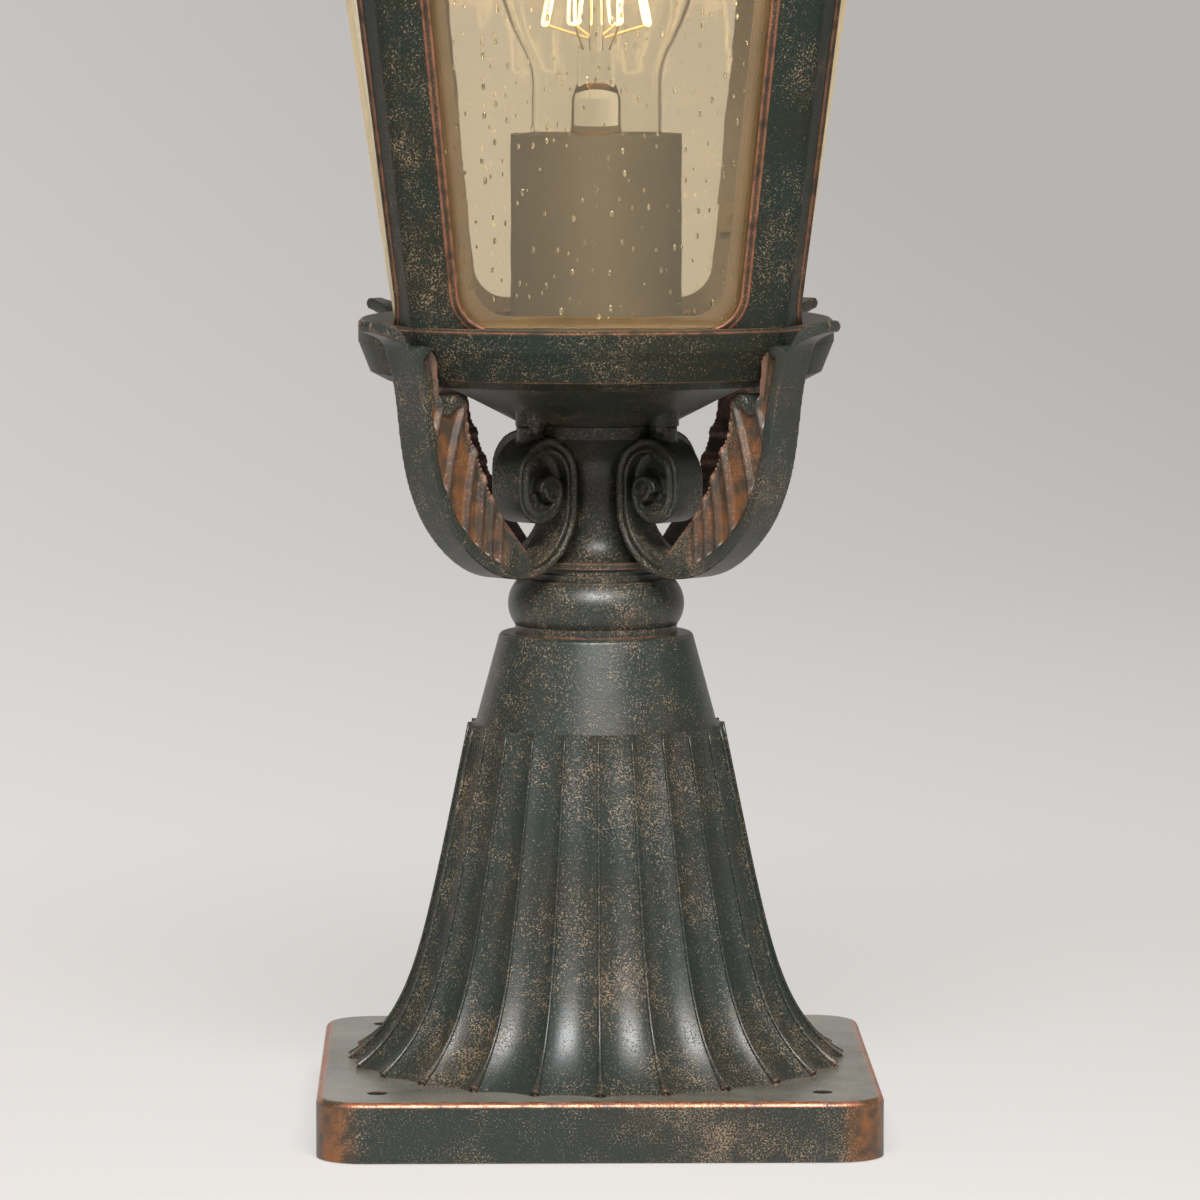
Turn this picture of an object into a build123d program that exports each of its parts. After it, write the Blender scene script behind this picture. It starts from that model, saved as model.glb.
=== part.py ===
from build123d import *
import os
from math import copysign, cos, exp, hypot, radians, sin, sqrt

# Pedestal lantern: a fluted trumpet pedestal on a square plate, a turned neck, four leaf scroll
# brackets, a round dish and rim, and a tapered glazed cage under a bell roof.
# Millimetres, +Z up, the front faces -Y, and the origin is the middle of the plate's underside.

# Base plate
plate_width = 140.0
plate_height = 15.0
plate_corner = 12.0
plate_edge_round = 1.6
plate_wall = 4.0
screw_spacing = 110.0
screw_hole_radius = 2.5
screw_boss_radius = 7.0

# Fluted trumpet and the plain cone above it
pedestal_height = 124.0
plain_cone_height = 23.0
cone_foot_radius = 30.6
cone_top_radius = 24.4
cone_edge_round = 1.2
pedestal_top_wall = 4.0
pedestal_wall = 3.2
flute_count = 24
flute_top_radius = 32.2
flute_lean = 17.3
toe_flare = 13.8
toe_reach = 10.75
flute_depth_top = 1.2
flute_depth_foot = 2.4
toe_depth = 1.4
flute_levels = (0.0, 0.05, 0.12, 0.22, 0.38, 0.6, 0.8, 1.0)

# Threaded tube with its nuts and washers
tube_radius = 5.0
tube_bore_radius = 3.5
tube_gap = 0.2
tube_below_nut = 4.0
tube_grip = 3.5
nut_height = 6.0
nut_across_flats = 14.0
washer_radius = 9.0
washer_thickness = 1.4

# Turned neck
neck_foot_radius = 20.5
neck_foot_height = 2.0
torus_radius = 22.3
torus_height = 11.8
torus_top_radius = 19.5
ring_lower_radius = 16.6
ring_waist_radius = 15.2
ring_upper_radius = 16.0
ring_height = 1.6
cavetto_foot_radius = 14.0
cavetto_height = 8.4
neck_waist_radius = 9.7
neck_waist_height = 11.0
flare_height = 12.0
collar_radius = 19.6
collar_height = 3.0

# Dish
dish_foot_radius = 19.2
dish_floor = 4.0
dish_mid_radius = 30.8
dish_mid_rise = 6.0
dish_edge_radius = 45.0
dish_edge_rise = 12.8
dish_flange_radius = 49.7
dish_flange_rise = 17.0
dish_inner_foot_radius = 16.0
dish_inner_top_radius = 37.5

# Rim at the foot of the cage: its sides bow more towards the rolled foot, where it is nearly round
rim_gap = 0.3
rim_foot_half = 53.0
rim_foot_rise = 11.3
rim_foot_bow = 56.0
rim_foot_corner = 30.0
rim_belly_half = 57.0
rim_belly_rise = 13.4
rim_belly_bow = 61.0
rim_belly_corner = 26.0
rim_half = 60.0
rim_full_rise = 21.0
rim_full_bow = 72.0
rim_full_corner = 12.0
sill_rise = 26.5
sill_bow = 80.0
sill_corner = 8.0
sill_edge_round = 0.8
ledge_radius = 38.0
ledge_thickness = 3.0
sill_inner_radius = 46.6

# Glazed cage
cage_height = 153.5
cage_foot_half = 52.9
cage_top_half = 75.7
cage_bow_radius = 150.0
cage_corner_radius = 4.5
cage_wall = 1.8
cage_inner_corner_radius = 14.0
cage_root = 2.0
window_foot_half = 33.8
window_top_half = 47.1
window_top_rail = 15.0
window_corner_radius = 9.0

# Glass panes and the retainers behind them
pane_seat_gap = 0.15
pane_thickness = 2.0
pane_overlap = 3.5
pane_top_overlap = 5.0
pane_corner = 2.0
retainer_thickness = 1.2
retainer_show = 4.0
retainer_foot_show = 3.0

# Corner clips and their screws
clip_heights = (24.0, 120.0)
clip_leg = 7.5
clip_thickness = 1.0
clip_width = 8.0
clip_gap = 0.35
clip_flat = 3.0
clip_screw_radius = 1.4
clip_screw_bite = 1.7
clip_head_radius = 2.8
clip_head_height = 1.8

# Lantern floor plate and the screws that hold the cage to the dish
lamp_plate_gap = 0.4
lamp_plate_thickness = 1.5
cage_screw_circle = 42.0
cage_screw_radius = 2.0
cage_screw_bite = 3.0
cage_head_radius = 3.6
cage_head_height = 2.4
screw_gap = 0.1

# Lampholder
lampholder_nut_height = 4.5
base_thickness = 2.0
sleeve_radius = 21.5
sleeve_wall = 1.1
sleeve_height = 45.0
body_radius = 19.0
body_height = 31.0
body_floor = 8.0
body_cavity_radius = 14.6
shell_radius = 14.2
shell_wall = 0.8
shell_rise = 2.0
shell_height = 27.0
tongue_thickness = 0.7
tongue_width = 6.0
tongue_lift = 3.6
tongue_reach = 12.0
tongue_tip = 5.0
tongue_bend = 7.0
tongue_slope = 3.0

# Wiring
block_length = 24.0
block_width = 10.0
block_height = 8.0
block_middle = 16.5
lead_spacing = 10.0
lead_radius = 1.0
lead_gap = 0.25
lead_insert = 5.0
lead_body_insert = 6.0
terminal_screw_radius = 1.6
terminal_screw_height = 3.0
small_screw_radius = 1.5
small_head_radius = 2.8
small_head_height = 1.8
earth_screw_place = (-26.0, 0.0)
earth_screw_length = 6.0

# Bulb
contact_gap = 0.1
contact_radius = 4.5
contact_height = 1.2
contact_round = 0.6
insulator_height = 3.3
insulator_top_radius = 11.0
cap_radius = 13.1
cap_wall = 0.6
cap_height = 24.0
cap_chamfer = 1.5
bulb_radius = 27.0
bulb_neck_radius = 16.6
bulb_neck_foot_rise = 6.0
bulb_neck_rise = 16.0
bulb_flare_radius = 20.0
bulb_flare_angle = 27.0
bulb_glass_wall = 0.8
stem_foot_radius = 12.0
stem_foot_height = 0.8
stem_tube_radius = 6.2
stem_tube_rise = 13.0
stem_press_rise = 17.0
stem_press_top_rise = 25.0
stem_press_width = 9.6
stem_press_thickness = 4.0
stem_press_corner = 1.2
stem_rod_radius = 1.8
stem_top_rise = 59.0
stem_bead_radius = 2.6
wire_radius = 0.3
filament_radius = 0.4
filament_bend = 0.9
hook_width = 3.0
filament_low_rise = 31.5
filament_high_rise = 57.0
filament_low_radius = 14.0
filament_high_radius = 9.0
filament_low_hooks = 8
support_hub_drop = 4.0
wire_gap = 0.15
lead_in_radius = 3.4

# Roof
roof_gap = 0.1
skirt_drop = 11.0
skirt_gap = 0.9
skirt_wall = 3.4
roof_seat_half = 70.0
roof_wall = 3.4
roof_bow_share = 2.0
roof_levels = (
    (0.0, 83.0, 6.0),
    (5.0, 82.0, 6.0),
    (15.0, 71.5, 7.0),
    (31.0, 54.0, 8.0),
    (47.0, 38.0, 10.0),
    (61.0, 26.0, 12.0),
    (72.0, 19.0, 14.0),
)
roof_top_wall = 4.0

# Finial on its stud
finial_foot_radius = 15.5
finial_foot_height = 3.0
finial_step = 2.0
finial_cove_radius = 6.0
finial_cove_rise = 10.0
finial_ball_radius = 10.5
finial_ball_rise = 20.0
finial_neck_radius = 4.6
finial_neck_rise = 30.0
finial_bud_radius = 7.2
finial_bud_rise = 35.0
finial_height = 51.0
finial_point_radius = 1.2
stud_radius = 3.0
stud_above = 10.0
stud_below = 12.0
stud_gap = 0.1
finial_nut_height = 5.0
finial_nut_across_flats = 10.0
finial_washer_radius = 6.5
finial_washer_thickness = 1.2

# Thumbscrews through the roof skirt
thumb_radius = 2.0
thumb_tip_gap = 0.5
thumb_running_gap = 0.08
thumb_head_radius = 4.5
thumb_head_length = 6.0
thumb_head_gap = 0.6
thumb_knurls = 12
thumb_knurl_radius = 0.8

# Leaf scroll brackets: the leaf's points are given outwards from the rim's half width and upwards
# from the lowest point of the scroll, in the upright plane of each diagonal
bracket_thickness = 10.0
bracket_low_radius = 30.0
scroll_drop = 37.5
scroll_bend_radius = 18.45
scroll_strap = 3.6
volute_radius = 10.45
volute_rise = 6.0
volute_drop = 3.0
volute_inner_strap = 2.6
volute_second_radius = 7.85
volute_third_radius = 4.15
volute_web = 3.0
volute_eye_radius = 2.6
volute_eye_proud = 0.6
throat_back = 3.0
leaf_back = ((-12.1, 6.0), (-3.2, 15.0), (2.4, 26.5), (5.0, 38.5), (7.2, 50.5), (10.6, 59.0))
leaf_tip = ((19.6, 63.4), (21.3, 65.1), (19.5, 66.3))
leaf_tip_inner = (12.9, 64.2)
lobe_outer = ((1.4, 56.0), (4.6, 59.6), (8.6, 58.6))
lobe_outer_foot = (0.2, 46.8)
lobe_inner = ((-9.4, 43.6), (-6.4, 47.4), (-3.2, 45.0))
lobe_inner_foot = (-10.8, 36.6)
leaf_front = ((-26.0, 11.5), (-19.6, 19.1), (-15.2, 27.5))
bracket_boss_radius = 3.4
bracket_boss_circle = 23.6
bracket_boss_depth = 8.0
bracket_screw_radius = 2.0
bracket_screw_bite = 6.5
bracket_pad_rise = 0.4
bracket_spot_rise = 9.0
bracket_pad_radius = 3.8
bracket_head_radius = 3.6
bracket_head_height = 2.4
bracket_head_gap = 0.5
bracket_gap = 0.3

# Heights worked out from the sizes above
flute_top = pedestal_height - plain_cone_height
neck_top = (
    pedestal_height + neck_foot_height + torus_height + 3 * ring_height
    + cavetto_height + neck_waist_height + flare_height + collar_height
)
dish_foot = neck_top
flange_top = dish_foot + dish_flange_rise
sill = dish_foot + sill_rise
cage_top = sill + cage_height
window_top = cage_top - window_top_rail
plate_floor = flange_top + ledge_thickness
plate_top = plate_floor + lamp_plate_thickness
base_floor = plate_top + lampholder_nut_height
body_foot = base_floor + base_thickness
cavity_floor = body_foot + body_floor
shell_foot = cavity_floor + shell_rise
contact_foot = cavity_floor + tongue_lift + tongue_thickness + contact_gap
insulator_foot = contact_foot + contact_height
cap_foot = insulator_foot + insulator_height
bulb_foot = cap_foot + cap_height
eave = cage_top + roof_gap
roof_top = eave + roof_levels[-1][0]
washer_top = pedestal_height - pedestal_top_wall
tube_foot = washer_top - washer_thickness - nut_height - tube_below_nut
tube_top = body_foot + tube_grip - tube_gap
upper_washer = dish_foot + dish_floor
upper_nut = upper_washer + washer_thickness
bracket_pad = dish_foot + bracket_pad_rise
bracket_spot = dish_foot + bracket_spot_rise

corner_angles = {"back_right": 45.0, "back_left": 135.0, "front_left": 225.0, "front_right": 315.0}
side_angles = {"front": -90.0, "right": 0.0, "back": 90.0, "left": 180.0}


def save(piece, name):
    piece.part.label = name
    export_step(piece.part, f"parts/{name}.step")


def polar(radius, angle):
    return (radius * cos(radians(angle)), radius * sin(radians(angle)))


def rotated(point, angle):
    x, y = point
    c, s = cos(radians(angle)), sin(radians(angle))
    return (x * c - y * s, x * s + y * c)


def turned(point, quarters):
    x, y = point
    for _ in range(quarters % 4):
        x, y = -y, x
    return (x, y)


def side_plane(angle, height=0):
    # Faces outwards from the axis towards one side of the lantern, with its own y upwards
    across = (-sin(radians(angle)), cos(radians(angle)), 0)
    outward = (cos(radians(angle)), sin(radians(angle)), 0)
    return Plane(origin=(0, 0, height), x_dir=across, z_dir=outward)


def radial_plane(angle):
    # Holds radius and height in the upright plane at this angle
    outward = (cos(radians(angle)), sin(radians(angle)), 0)
    square = (sin(radians(angle)), -cos(radians(angle)), 0)
    return Plane(origin=(0, 0, 0), x_dir=outward, z_dir=square)


def ridge_radius(height):
    # The ridges lean in steadily and sweep out into toes on the plate
    share = (flute_top - height) / (flute_top - plate_height)
    return flute_top_radius + flute_lean * share + toe_flare * exp(-(height - plate_height) / toe_reach)


def flute_depth(height):
    share = (flute_top - height) / (flute_top - plate_height)
    deeper = (flute_depth_foot - flute_depth_top) * share
    return flute_depth_top + deeper + toe_depth * exp(-(height - plate_height) / toe_reach)


def fluted_section(height):
    ridge = ridge_radius(height)
    trough = ridge - flute_depth(height)
    step = 360 / flute_count
    with BuildSketch(Plane.XY.offset(height)) as section:
        with BuildLine():
            for flute in range(flute_count):
                angle = flute * step - 90
                ThreePointArc(
                    polar(ridge, angle), polar(trough, angle + step / 2), polar(ridge, angle + step)
                )
        make_face()
    return section.sketch


def bowed_square(height, half, bow, corner):
    # A square with bowed sides and round corners: eight arcs, each tangent to the next
    lean = bow - half
    centre = (sqrt(2 * (bow - corner) ** 2 - lean**2) - lean) / 2
    reach = bow / (bow - corner)
    along = (centre + lean) * reach - lean
    across = centre * reach
    corner_mid = centre + corner / sqrt(2)
    with BuildSketch(Plane.XY.offset(height)) as section:
        with BuildLine():
            for turn in range(4):
                side = [turned(point, turn) for point in ((along, -across), (half, 0), (along, across))]
                ThreePointArc(*side)
                ThreePointArc(
                    side[2], turned((corner_mid, corner_mid), turn), turned((along, -across), turn + 1)
                )
        make_face()
    return section.sketch


def cage_half(height):
    return cage_foot_half + (cage_top_half - cage_foot_half) * (height - sill) / cage_height


def cage_section(height, inset, corner):
    return bowed_square(height, cage_half(height) - inset, cage_bow_radius - inset, corner)


def window_half(height):
    return window_foot_half + (window_top_half - window_foot_half) * (height - sill) / (window_top - sill)


def window_outline(angle, grow, foot, top, corner):
    # The tapered, round-cornered window, grown sideways, between two heights
    low = window_half(foot) + grow
    high = window_half(top) + grow
    with BuildSketch(side_plane(angle)) as outline:
        with BuildLine():
            Polyline((-low, foot), (low, foot), (high, top), (-high, top), close=True)
        make_face()
        fillet(outline.vertices(), corner)
    return outline.sketch


def ring_sketch(outer, inner, height):
    with BuildSketch(Plane.XY.offset(height)) as ring:
        Circle(outer)
        Circle(inner, mode=Mode.SUBTRACT)
    return ring.sketch


def hex_sketch(across_flats, bore, height):
    with BuildSketch(Plane.XY.offset(height)) as hexagon:
        RegularPolygon(across_flats / 2, 6, major_radius=False)
        Circle(bore, mode=Mode.SUBTRACT)
    return hexagon.sketch


os.makedirs("parts", exist_ok=True)

# Pedestal: hollow plate with bosses, fluted trumpet, plain cone, open below
flute_heights = [plate_height + level * (flute_top - plate_height) for level in flute_levels]
with BuildPart() as pedestal:
    with BuildSketch():
        RectangleRounded(plate_width, plate_width, plate_corner)
    extrude(amount=plate_height)
    fillet(pedestal.faces().sort_by(Axis.Z)[-1].edges(), plate_edge_round)
    with BuildSketch():
        pocket_width = plate_width - 2 * plate_wall
        RectangleRounded(pocket_width, pocket_width, plate_corner - plate_wall)
    extrude(amount=plate_height - plate_wall, mode=Mode.SUBTRACT)
    with BuildSketch():
        with GridLocations(screw_spacing, screw_spacing, 2, 2):
            Circle(screw_boss_radius)
    extrude(amount=plate_height - plate_wall)
    loft([fluted_section(height) for height in flute_heights])
    with BuildSketch(Plane.XZ):
        with BuildLine():
            Polyline(
                (0, flute_top - plate_wall), (cone_foot_radius - pedestal_wall, flute_top - plate_wall),
                (cone_foot_radius, flute_top), (cone_top_radius, pedestal_height), (0, pedestal_height),
                close=True,
            )
        make_face()
    revolve(axis=Axis.Z)
    fillet(pedestal.faces().sort_by(Axis.Z)[-1].edges(), cone_edge_round)
    with BuildSketch(Plane.XZ):
        with BuildLine():
            inner = [
                (ridge_radius(height) - flute_depth(height) - pedestal_wall, height)
                for height in flute_heights
            ]
            cavity_side = Spline(*inner)
            Polyline(
                cavity_side @ 1, (cone_top_radius - pedestal_wall, washer_top), (0, washer_top),
                (0, plate_height - plate_wall), (inner[0][0], plate_height - plate_wall), cavity_side @ 0,
            )
        make_face()
    revolve(axis=Axis.Z, mode=Mode.SUBTRACT)
    with BuildSketch():
        with GridLocations(screw_spacing, screw_spacing, 2, 2):
            Circle(screw_hole_radius)
    extrude(amount=plate_height, mode=Mode.SUBTRACT)
    with BuildSketch(Plane.XY.offset(washer_top)):
        Circle(tube_radius + tube_gap)
    extrude(amount=pedestal_top_wall, mode=Mode.SUBTRACT)
save(pedestal, "pedestal_casting")

# Threaded tube through pedestal, neck and dish up to the lampholder
with BuildPart() as tube:
    extrude(ring_sketch(tube_radius, tube_bore_radius, tube_foot), amount=tube_top - tube_foot)
save(tube, "threaded_tube")

with BuildPart() as lower_washer:
    low = washer_top - washer_thickness
    extrude(ring_sketch(washer_radius, tube_radius + tube_gap, low), amount=washer_thickness)
save(lower_washer, "tube_washer_lower")

with BuildPart() as lower_nut:
    low = washer_top - washer_thickness - nut_height
    extrude(hex_sketch(nut_across_flats, tube_radius + screw_gap, low), amount=nut_height)
save(lower_nut, "tube_nut_lower")

with BuildPart() as upper_washer_piece:
    extrude(ring_sketch(washer_radius, tube_radius + tube_gap, upper_washer), amount=washer_thickness)
save(upper_washer_piece, "tube_washer_upper")

with BuildPart() as upper_nut_piece:
    extrude(hex_sketch(nut_across_flats, tube_radius + screw_gap, upper_nut), amount=nut_height)
save(upper_nut_piece, "tube_nut_upper")

# Turned neck: torus foot, thin rings, cavetto, waist and flared collar
torus_foot = pedestal_height + neck_foot_height
ring_foot = torus_foot + torus_height
cavetto_foot = ring_foot + 3 * ring_height
waist_foot = cavetto_foot + cavetto_height
waist_top = waist_foot + neck_waist_height
collar_foot = waist_top + flare_height
neck_bore = tube_radius + tube_gap


def neck_outline(grow):
    # The neck's outside, closed on the bore, with its radii grown by a gap
    with BuildSketch(Plane.XZ) as outline:
        with BuildLine():
            foot = (neck_foot_radius + grow, pedestal_height)
            torus_low = (neck_foot_radius + grow, torus_foot)
            torus_mid = (torus_radius + grow, torus_foot + torus_height / 2)
            torus_high = (torus_top_radius + grow, ring_foot)
            cavetto_low = (cavetto_foot_radius + grow, cavetto_foot)
            waist_low = (neck_waist_radius + grow, waist_foot)
            waist_high = (neck_waist_radius + grow, waist_top)
            collar_low = (collar_radius + grow, collar_foot)
            Polyline((neck_bore, pedestal_height), foot, torus_low)
            ThreePointArc(torus_low, torus_mid, torus_high)
            Polyline(
                torus_high, (ring_lower_radius + grow, ring_foot),
                (ring_lower_radius + grow, ring_foot + ring_height),
                (ring_waist_radius + grow, ring_foot + ring_height),
                (ring_waist_radius + grow, ring_foot + 2 * ring_height),
                (ring_upper_radius + grow, ring_foot + 2 * ring_height),
                (ring_upper_radius + grow, cavetto_foot), cavetto_low,
            )
            Spline(cavetto_low, waist_low, tangents=((-1, 0.5), (0, 1)))
            Line(waist_low, waist_high)
            Spline(waist_high, collar_low, tangents=((0, 1), (1, 0.5)))
            Polyline(
                collar_low, (collar_radius + grow, neck_top), (neck_bore, neck_top),
                (neck_bore, pedestal_height),
            )
        make_face()
    return outline.sketch


with BuildPart() as neck:
    revolve(neck_outline(0), axis=Axis.Z)
save(neck, "neck_baluster")

# Dish: a shallow bowl on the collar, with pads under it for the brackets


def dish_outline(drop):
    # The dish in section, with its underside lowered by a gap
    with BuildSketch(Plane.XZ) as outline:
        with BuildLine():
            Polyline(
                (neck_bore, dish_foot - drop), (dish_foot_radius, dish_foot - drop),
                (dish_mid_radius, dish_foot + dish_mid_rise - drop),
                (dish_edge_radius, dish_foot + dish_edge_rise - drop),
                (dish_flange_radius, dish_foot + dish_edge_rise - drop), (dish_flange_radius, flange_top),
                (dish_inner_top_radius, flange_top), (dish_inner_foot_radius, dish_foot + dish_floor),
                (neck_bore, dish_foot + dish_floor), close=True,
            )
        make_face()
    return outline.sketch


with BuildPart() as dish:
    revolve(dish_outline(0), axis=Axis.Z)
    with BuildSketch(Plane.XY.offset(bracket_pad)):
        with PolarLocations(bracket_boss_circle, 4, start_angle=45):
            Circle(bracket_pad_radius)
    extrude(amount=bracket_spot - bracket_pad)
    with BuildSketch(Plane.XY.offset(bracket_pad)):
        with PolarLocations(bracket_boss_circle, 4, start_angle=45):
            Circle(bracket_screw_radius + screw_gap)
    extrude(amount=bracket_spot - bracket_pad, mode=Mode.SUBTRACT)
    with BuildSketch(Plane.XY.offset(bracket_spot)):
        with PolarLocations(bracket_boss_circle, 4, start_angle=45):
            Circle(bracket_head_radius + bracket_head_gap)
    extrude(amount=flange_top - bracket_spot, mode=Mode.SUBTRACT)
    with BuildSketch(Plane.XY.offset(flange_top)):
        with PolarLocations(cage_screw_circle, 4):
            Circle(cage_screw_radius + screw_gap)
    extrude(amount=-cage_screw_bite, mode=Mode.SUBTRACT)
save(dish, "lantern_dish")


def rim_block(grow):
    # The rim as a solid block from its rolled foot to the sill, grown by a gap
    levels = (
        (rim_foot_rise - grow, rim_foot_half, rim_foot_bow, rim_foot_corner),
        (rim_belly_rise - grow, rim_belly_half, rim_belly_bow, rim_belly_corner),
        (rim_full_rise, rim_half, rim_full_bow, rim_full_corner),
        (sill_rise - sill_edge_round, rim_half, sill_bow, sill_corner),
        (
            sill_rise, rim_half - sill_edge_round, sill_bow - sill_edge_round,
            sill_corner - sill_edge_round,
        ),
    )
    with BuildPart() as block:
        loft([
            bowed_square(dish_foot + rise, half + grow, bow + grow, corner + grow)
            for rise, half, bow, corner in levels
        ], ruled=True)
    return block.part


# Leaf scroll brackets on the diagonals: leaf, strap and volute cut as one casting
scroll_low_height = dish_foot - scroll_drop
scroll_height = scroll_low_height + scroll_bend_radius
strap_outer = bracket_low_radius - scroll_bend_radius
volute_height = scroll_height + volute_rise
curl_height = volute_height - volute_drop
volute_centre = strap_outer + volute_radius
volute_right = volute_centre + volute_radius
second_left = volute_right - 2 * volute_second_radius
third_right = second_left + 2 * volute_third_radius
strap_inner = strap_outer + scroll_strap
bend_inner_radius = scroll_bend_radius - scroll_strap
inner_right = volute_right - scroll_strap
second_inner_left = second_left + volute_inner_strap
third_inner_right = third_right - volute_inner_strap
throat_radius = bracket_low_radius - throat_back
throat_drop = sqrt(bend_inner_radius**2 - (bracket_low_radius - throat_radius) ** 2)
throat = (throat_radius, scroll_height - throat_drop)


def half_turn(start_radius, end_radius, level, upward):
    # A half circle of the volute between two points at one level
    middle = (start_radius + end_radius) / 2
    lift = abs(end_radius - start_radius) / 2
    height = level + (lift if upward else -lift)
    return (start_radius, level), (middle, height), (end_radius, level)


def bend_point(radius, turn):
    return (
        bracket_low_radius - radius * cos(radians(turn)),
        scroll_height - radius * sin(radians(turn)),
    )


def leaf_points(*points):
    return [(rim_half + out, scroll_low_height + rise) for out, rise in points]


def bracket_outline(plane):
    low = (bracket_low_radius, scroll_low_height)
    back = leaf_points(*leaf_back)
    front = leaf_points(*leaf_front, lobe_inner_foot)
    inner_lobe = leaf_points(*lobe_inner)
    outer_lobe = leaf_points(lobe_outer_foot, *lobe_outer)
    tip = leaf_points(*leaf_tip)
    tip_inner = leaf_points(leaf_tip_inner)[0]
    with BuildSketch(plane) as outline:
        with BuildLine():
            Spline(low, *back, tip[0], tangents=((1, 0), (1, 0.3)))
            ThreePointArc(*tip)
            ThreePointArc(low, bend_point(scroll_bend_radius, 45), (strap_outer, scroll_height))
            Line((strap_outer, scroll_height), (strap_outer, volute_height))
            ThreePointArc(*half_turn(strap_outer, volute_right, volute_height, True))
            Line((volute_right, volute_height), (volute_right, curl_height))
            ThreePointArc(*half_turn(volute_right, second_left, curl_height, False))
            ThreePointArc(*half_turn(second_left, third_right, curl_height, True))
            Line((third_right, curl_height), (third_inner_right, curl_height))
            ThreePointArc(*half_turn(third_inner_right, second_inner_left, curl_height, True))
            ThreePointArc(*half_turn(second_inner_left, inner_right, curl_height, False))
            Line((inner_right, curl_height), (inner_right, volute_height))
            ThreePointArc(*half_turn(inner_right, strap_inner, volute_height, True))
            Line((strap_inner, volute_height), (strap_inner, scroll_height))
            ThreePointArc((strap_inner, scroll_height), bend_point(bend_inner_radius, 40), throat)
            Spline(throat, *front)
            Line(front[-1], inner_lobe[0])
            ThreePointArc(*inner_lobe)
            Polyline(inner_lobe[2], outer_lobe[0], outer_lobe[1])
            ThreePointArc(*outer_lobe[1:])
            Spline(outer_lobe[3], tip_inner, tip[2], tangents=((1, 0.8), (1, 0.3)))
        make_face()
    return outline.sketch


for corner_name, corner_angle in corner_angles.items():
    corner_plane = radial_plane(corner_angle)
    boss_place = polar(bracket_boss_circle, corner_angle)
    with BuildPart() as bracket:
        extrude(bracket_outline(corner_plane), amount=bracket_thickness / 2, both=True)
        with BuildSketch(corner_plane):
            with Locations((volute_centre, volute_height)):
                Circle(volute_radius - scroll_strap / 2)
            with Locations(((second_left + volute_right) / 2, curl_height)):
                Circle(volute_second_radius - volute_inner_strap / 2)
        extrude(amount=volute_web / 2, both=True)
        with BuildSketch(corner_plane):
            with Locations(((second_inner_left + third_inner_right) / 2, curl_height)):
                Circle(volute_eye_radius)
        extrude(amount=bracket_thickness / 2 + volute_eye_proud, both=True)
        revolve(neck_outline(bracket_gap), axis=Axis.Z, mode=Mode.SUBTRACT)
        revolve(dish_outline(bracket_gap), axis=Axis.Z, mode=Mode.SUBTRACT)
        add(rim_block(rim_gap), mode=Mode.SUBTRACT)
        with BuildSketch(Plane.XY.offset(bracket_pad)):
            with Locations(boss_place):
                Circle(bracket_boss_radius)
        extrude(amount=-bracket_boss_depth)
        with BuildSketch(Plane.XY.offset(bracket_pad)):
            with Locations(boss_place):
                Circle(bracket_screw_radius + screw_gap)
        extrude(amount=-bracket_screw_bite, mode=Mode.SUBTRACT)
    save(bracket, f"leaf_bracket_{corner_name}")

with BuildPart() as bracket_screws:
    with BuildSketch(Plane.XY.offset(bracket_spot)):
        with PolarLocations(bracket_boss_circle, 4, start_angle=45):
            Circle(bracket_head_radius)
    extrude(amount=bracket_head_height)
    with BuildSketch(Plane.XY.offset(bracket_spot)):
        with PolarLocations(bracket_boss_circle, 4, start_angle=45):
            Circle(bracket_screw_radius)
    extrude(amount=bracket_pad - bracket_spot - bracket_screw_bite)
save(bracket_screws, "bracket_screws")

# Where the panes, retainers and corner clips lie behind the cage's wall
pane_inset = cage_wall + pane_seat_gap
retainer_inset = pane_inset + pane_thickness + pane_seat_gap
pane_foot = sill + pane_seat_gap
pane_top = window_top + pane_top_overlap
clip_levels = [sill + height for height in clip_heights]


def clip_seat(height):
    # Distance out along the diagonal to the inner corner where two retainers' edges come nearest
    inset = retainer_inset + retainer_thickness + clip_gap
    edge = window_half(height) + pane_overlap
    face = cage_half(height) - inset - edge**2 / (2 * cage_bow_radius)
    return (edge + face) / sqrt(2)


def inner_corner(height):
    # Distance out along the diagonal to the cage's inside corner
    half = cage_half(height) - cage_wall
    bow = cage_bow_radius - cage_wall
    lean = bow - half
    middle = (sqrt(2 * (bow - cage_inner_corner_radius) ** 2 - lean**2) - lean) / 2
    return middle * sqrt(2) + cage_inner_corner_radius


def clip_profile(angle, height):
    seat = clip_seat(height)
    back = seat - clip_thickness
    spread = clip_leg / sqrt(2)
    with BuildSketch(Plane.XY.offset(height - clip_width / 2)) as profile:
        with BuildLine():
            points = (
                (seat, -clip_flat), (seat, clip_flat), (seat - spread, clip_flat + spread),
                (back - spread, clip_flat + spread), (back, clip_flat), (back, -clip_flat),
                (back - spread, -clip_flat - spread), (seat - spread, -clip_flat - spread),
            )
            Polyline(*[rotated(point, angle) for point in points], close=True)
        make_face()
    return profile.sketch


def diagonal_disc(angle, distance, height, radius):
    with BuildSketch(side_plane(angle, height).offset(distance)) as disc:
        Circle(radius)
    return disc.sketch


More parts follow.
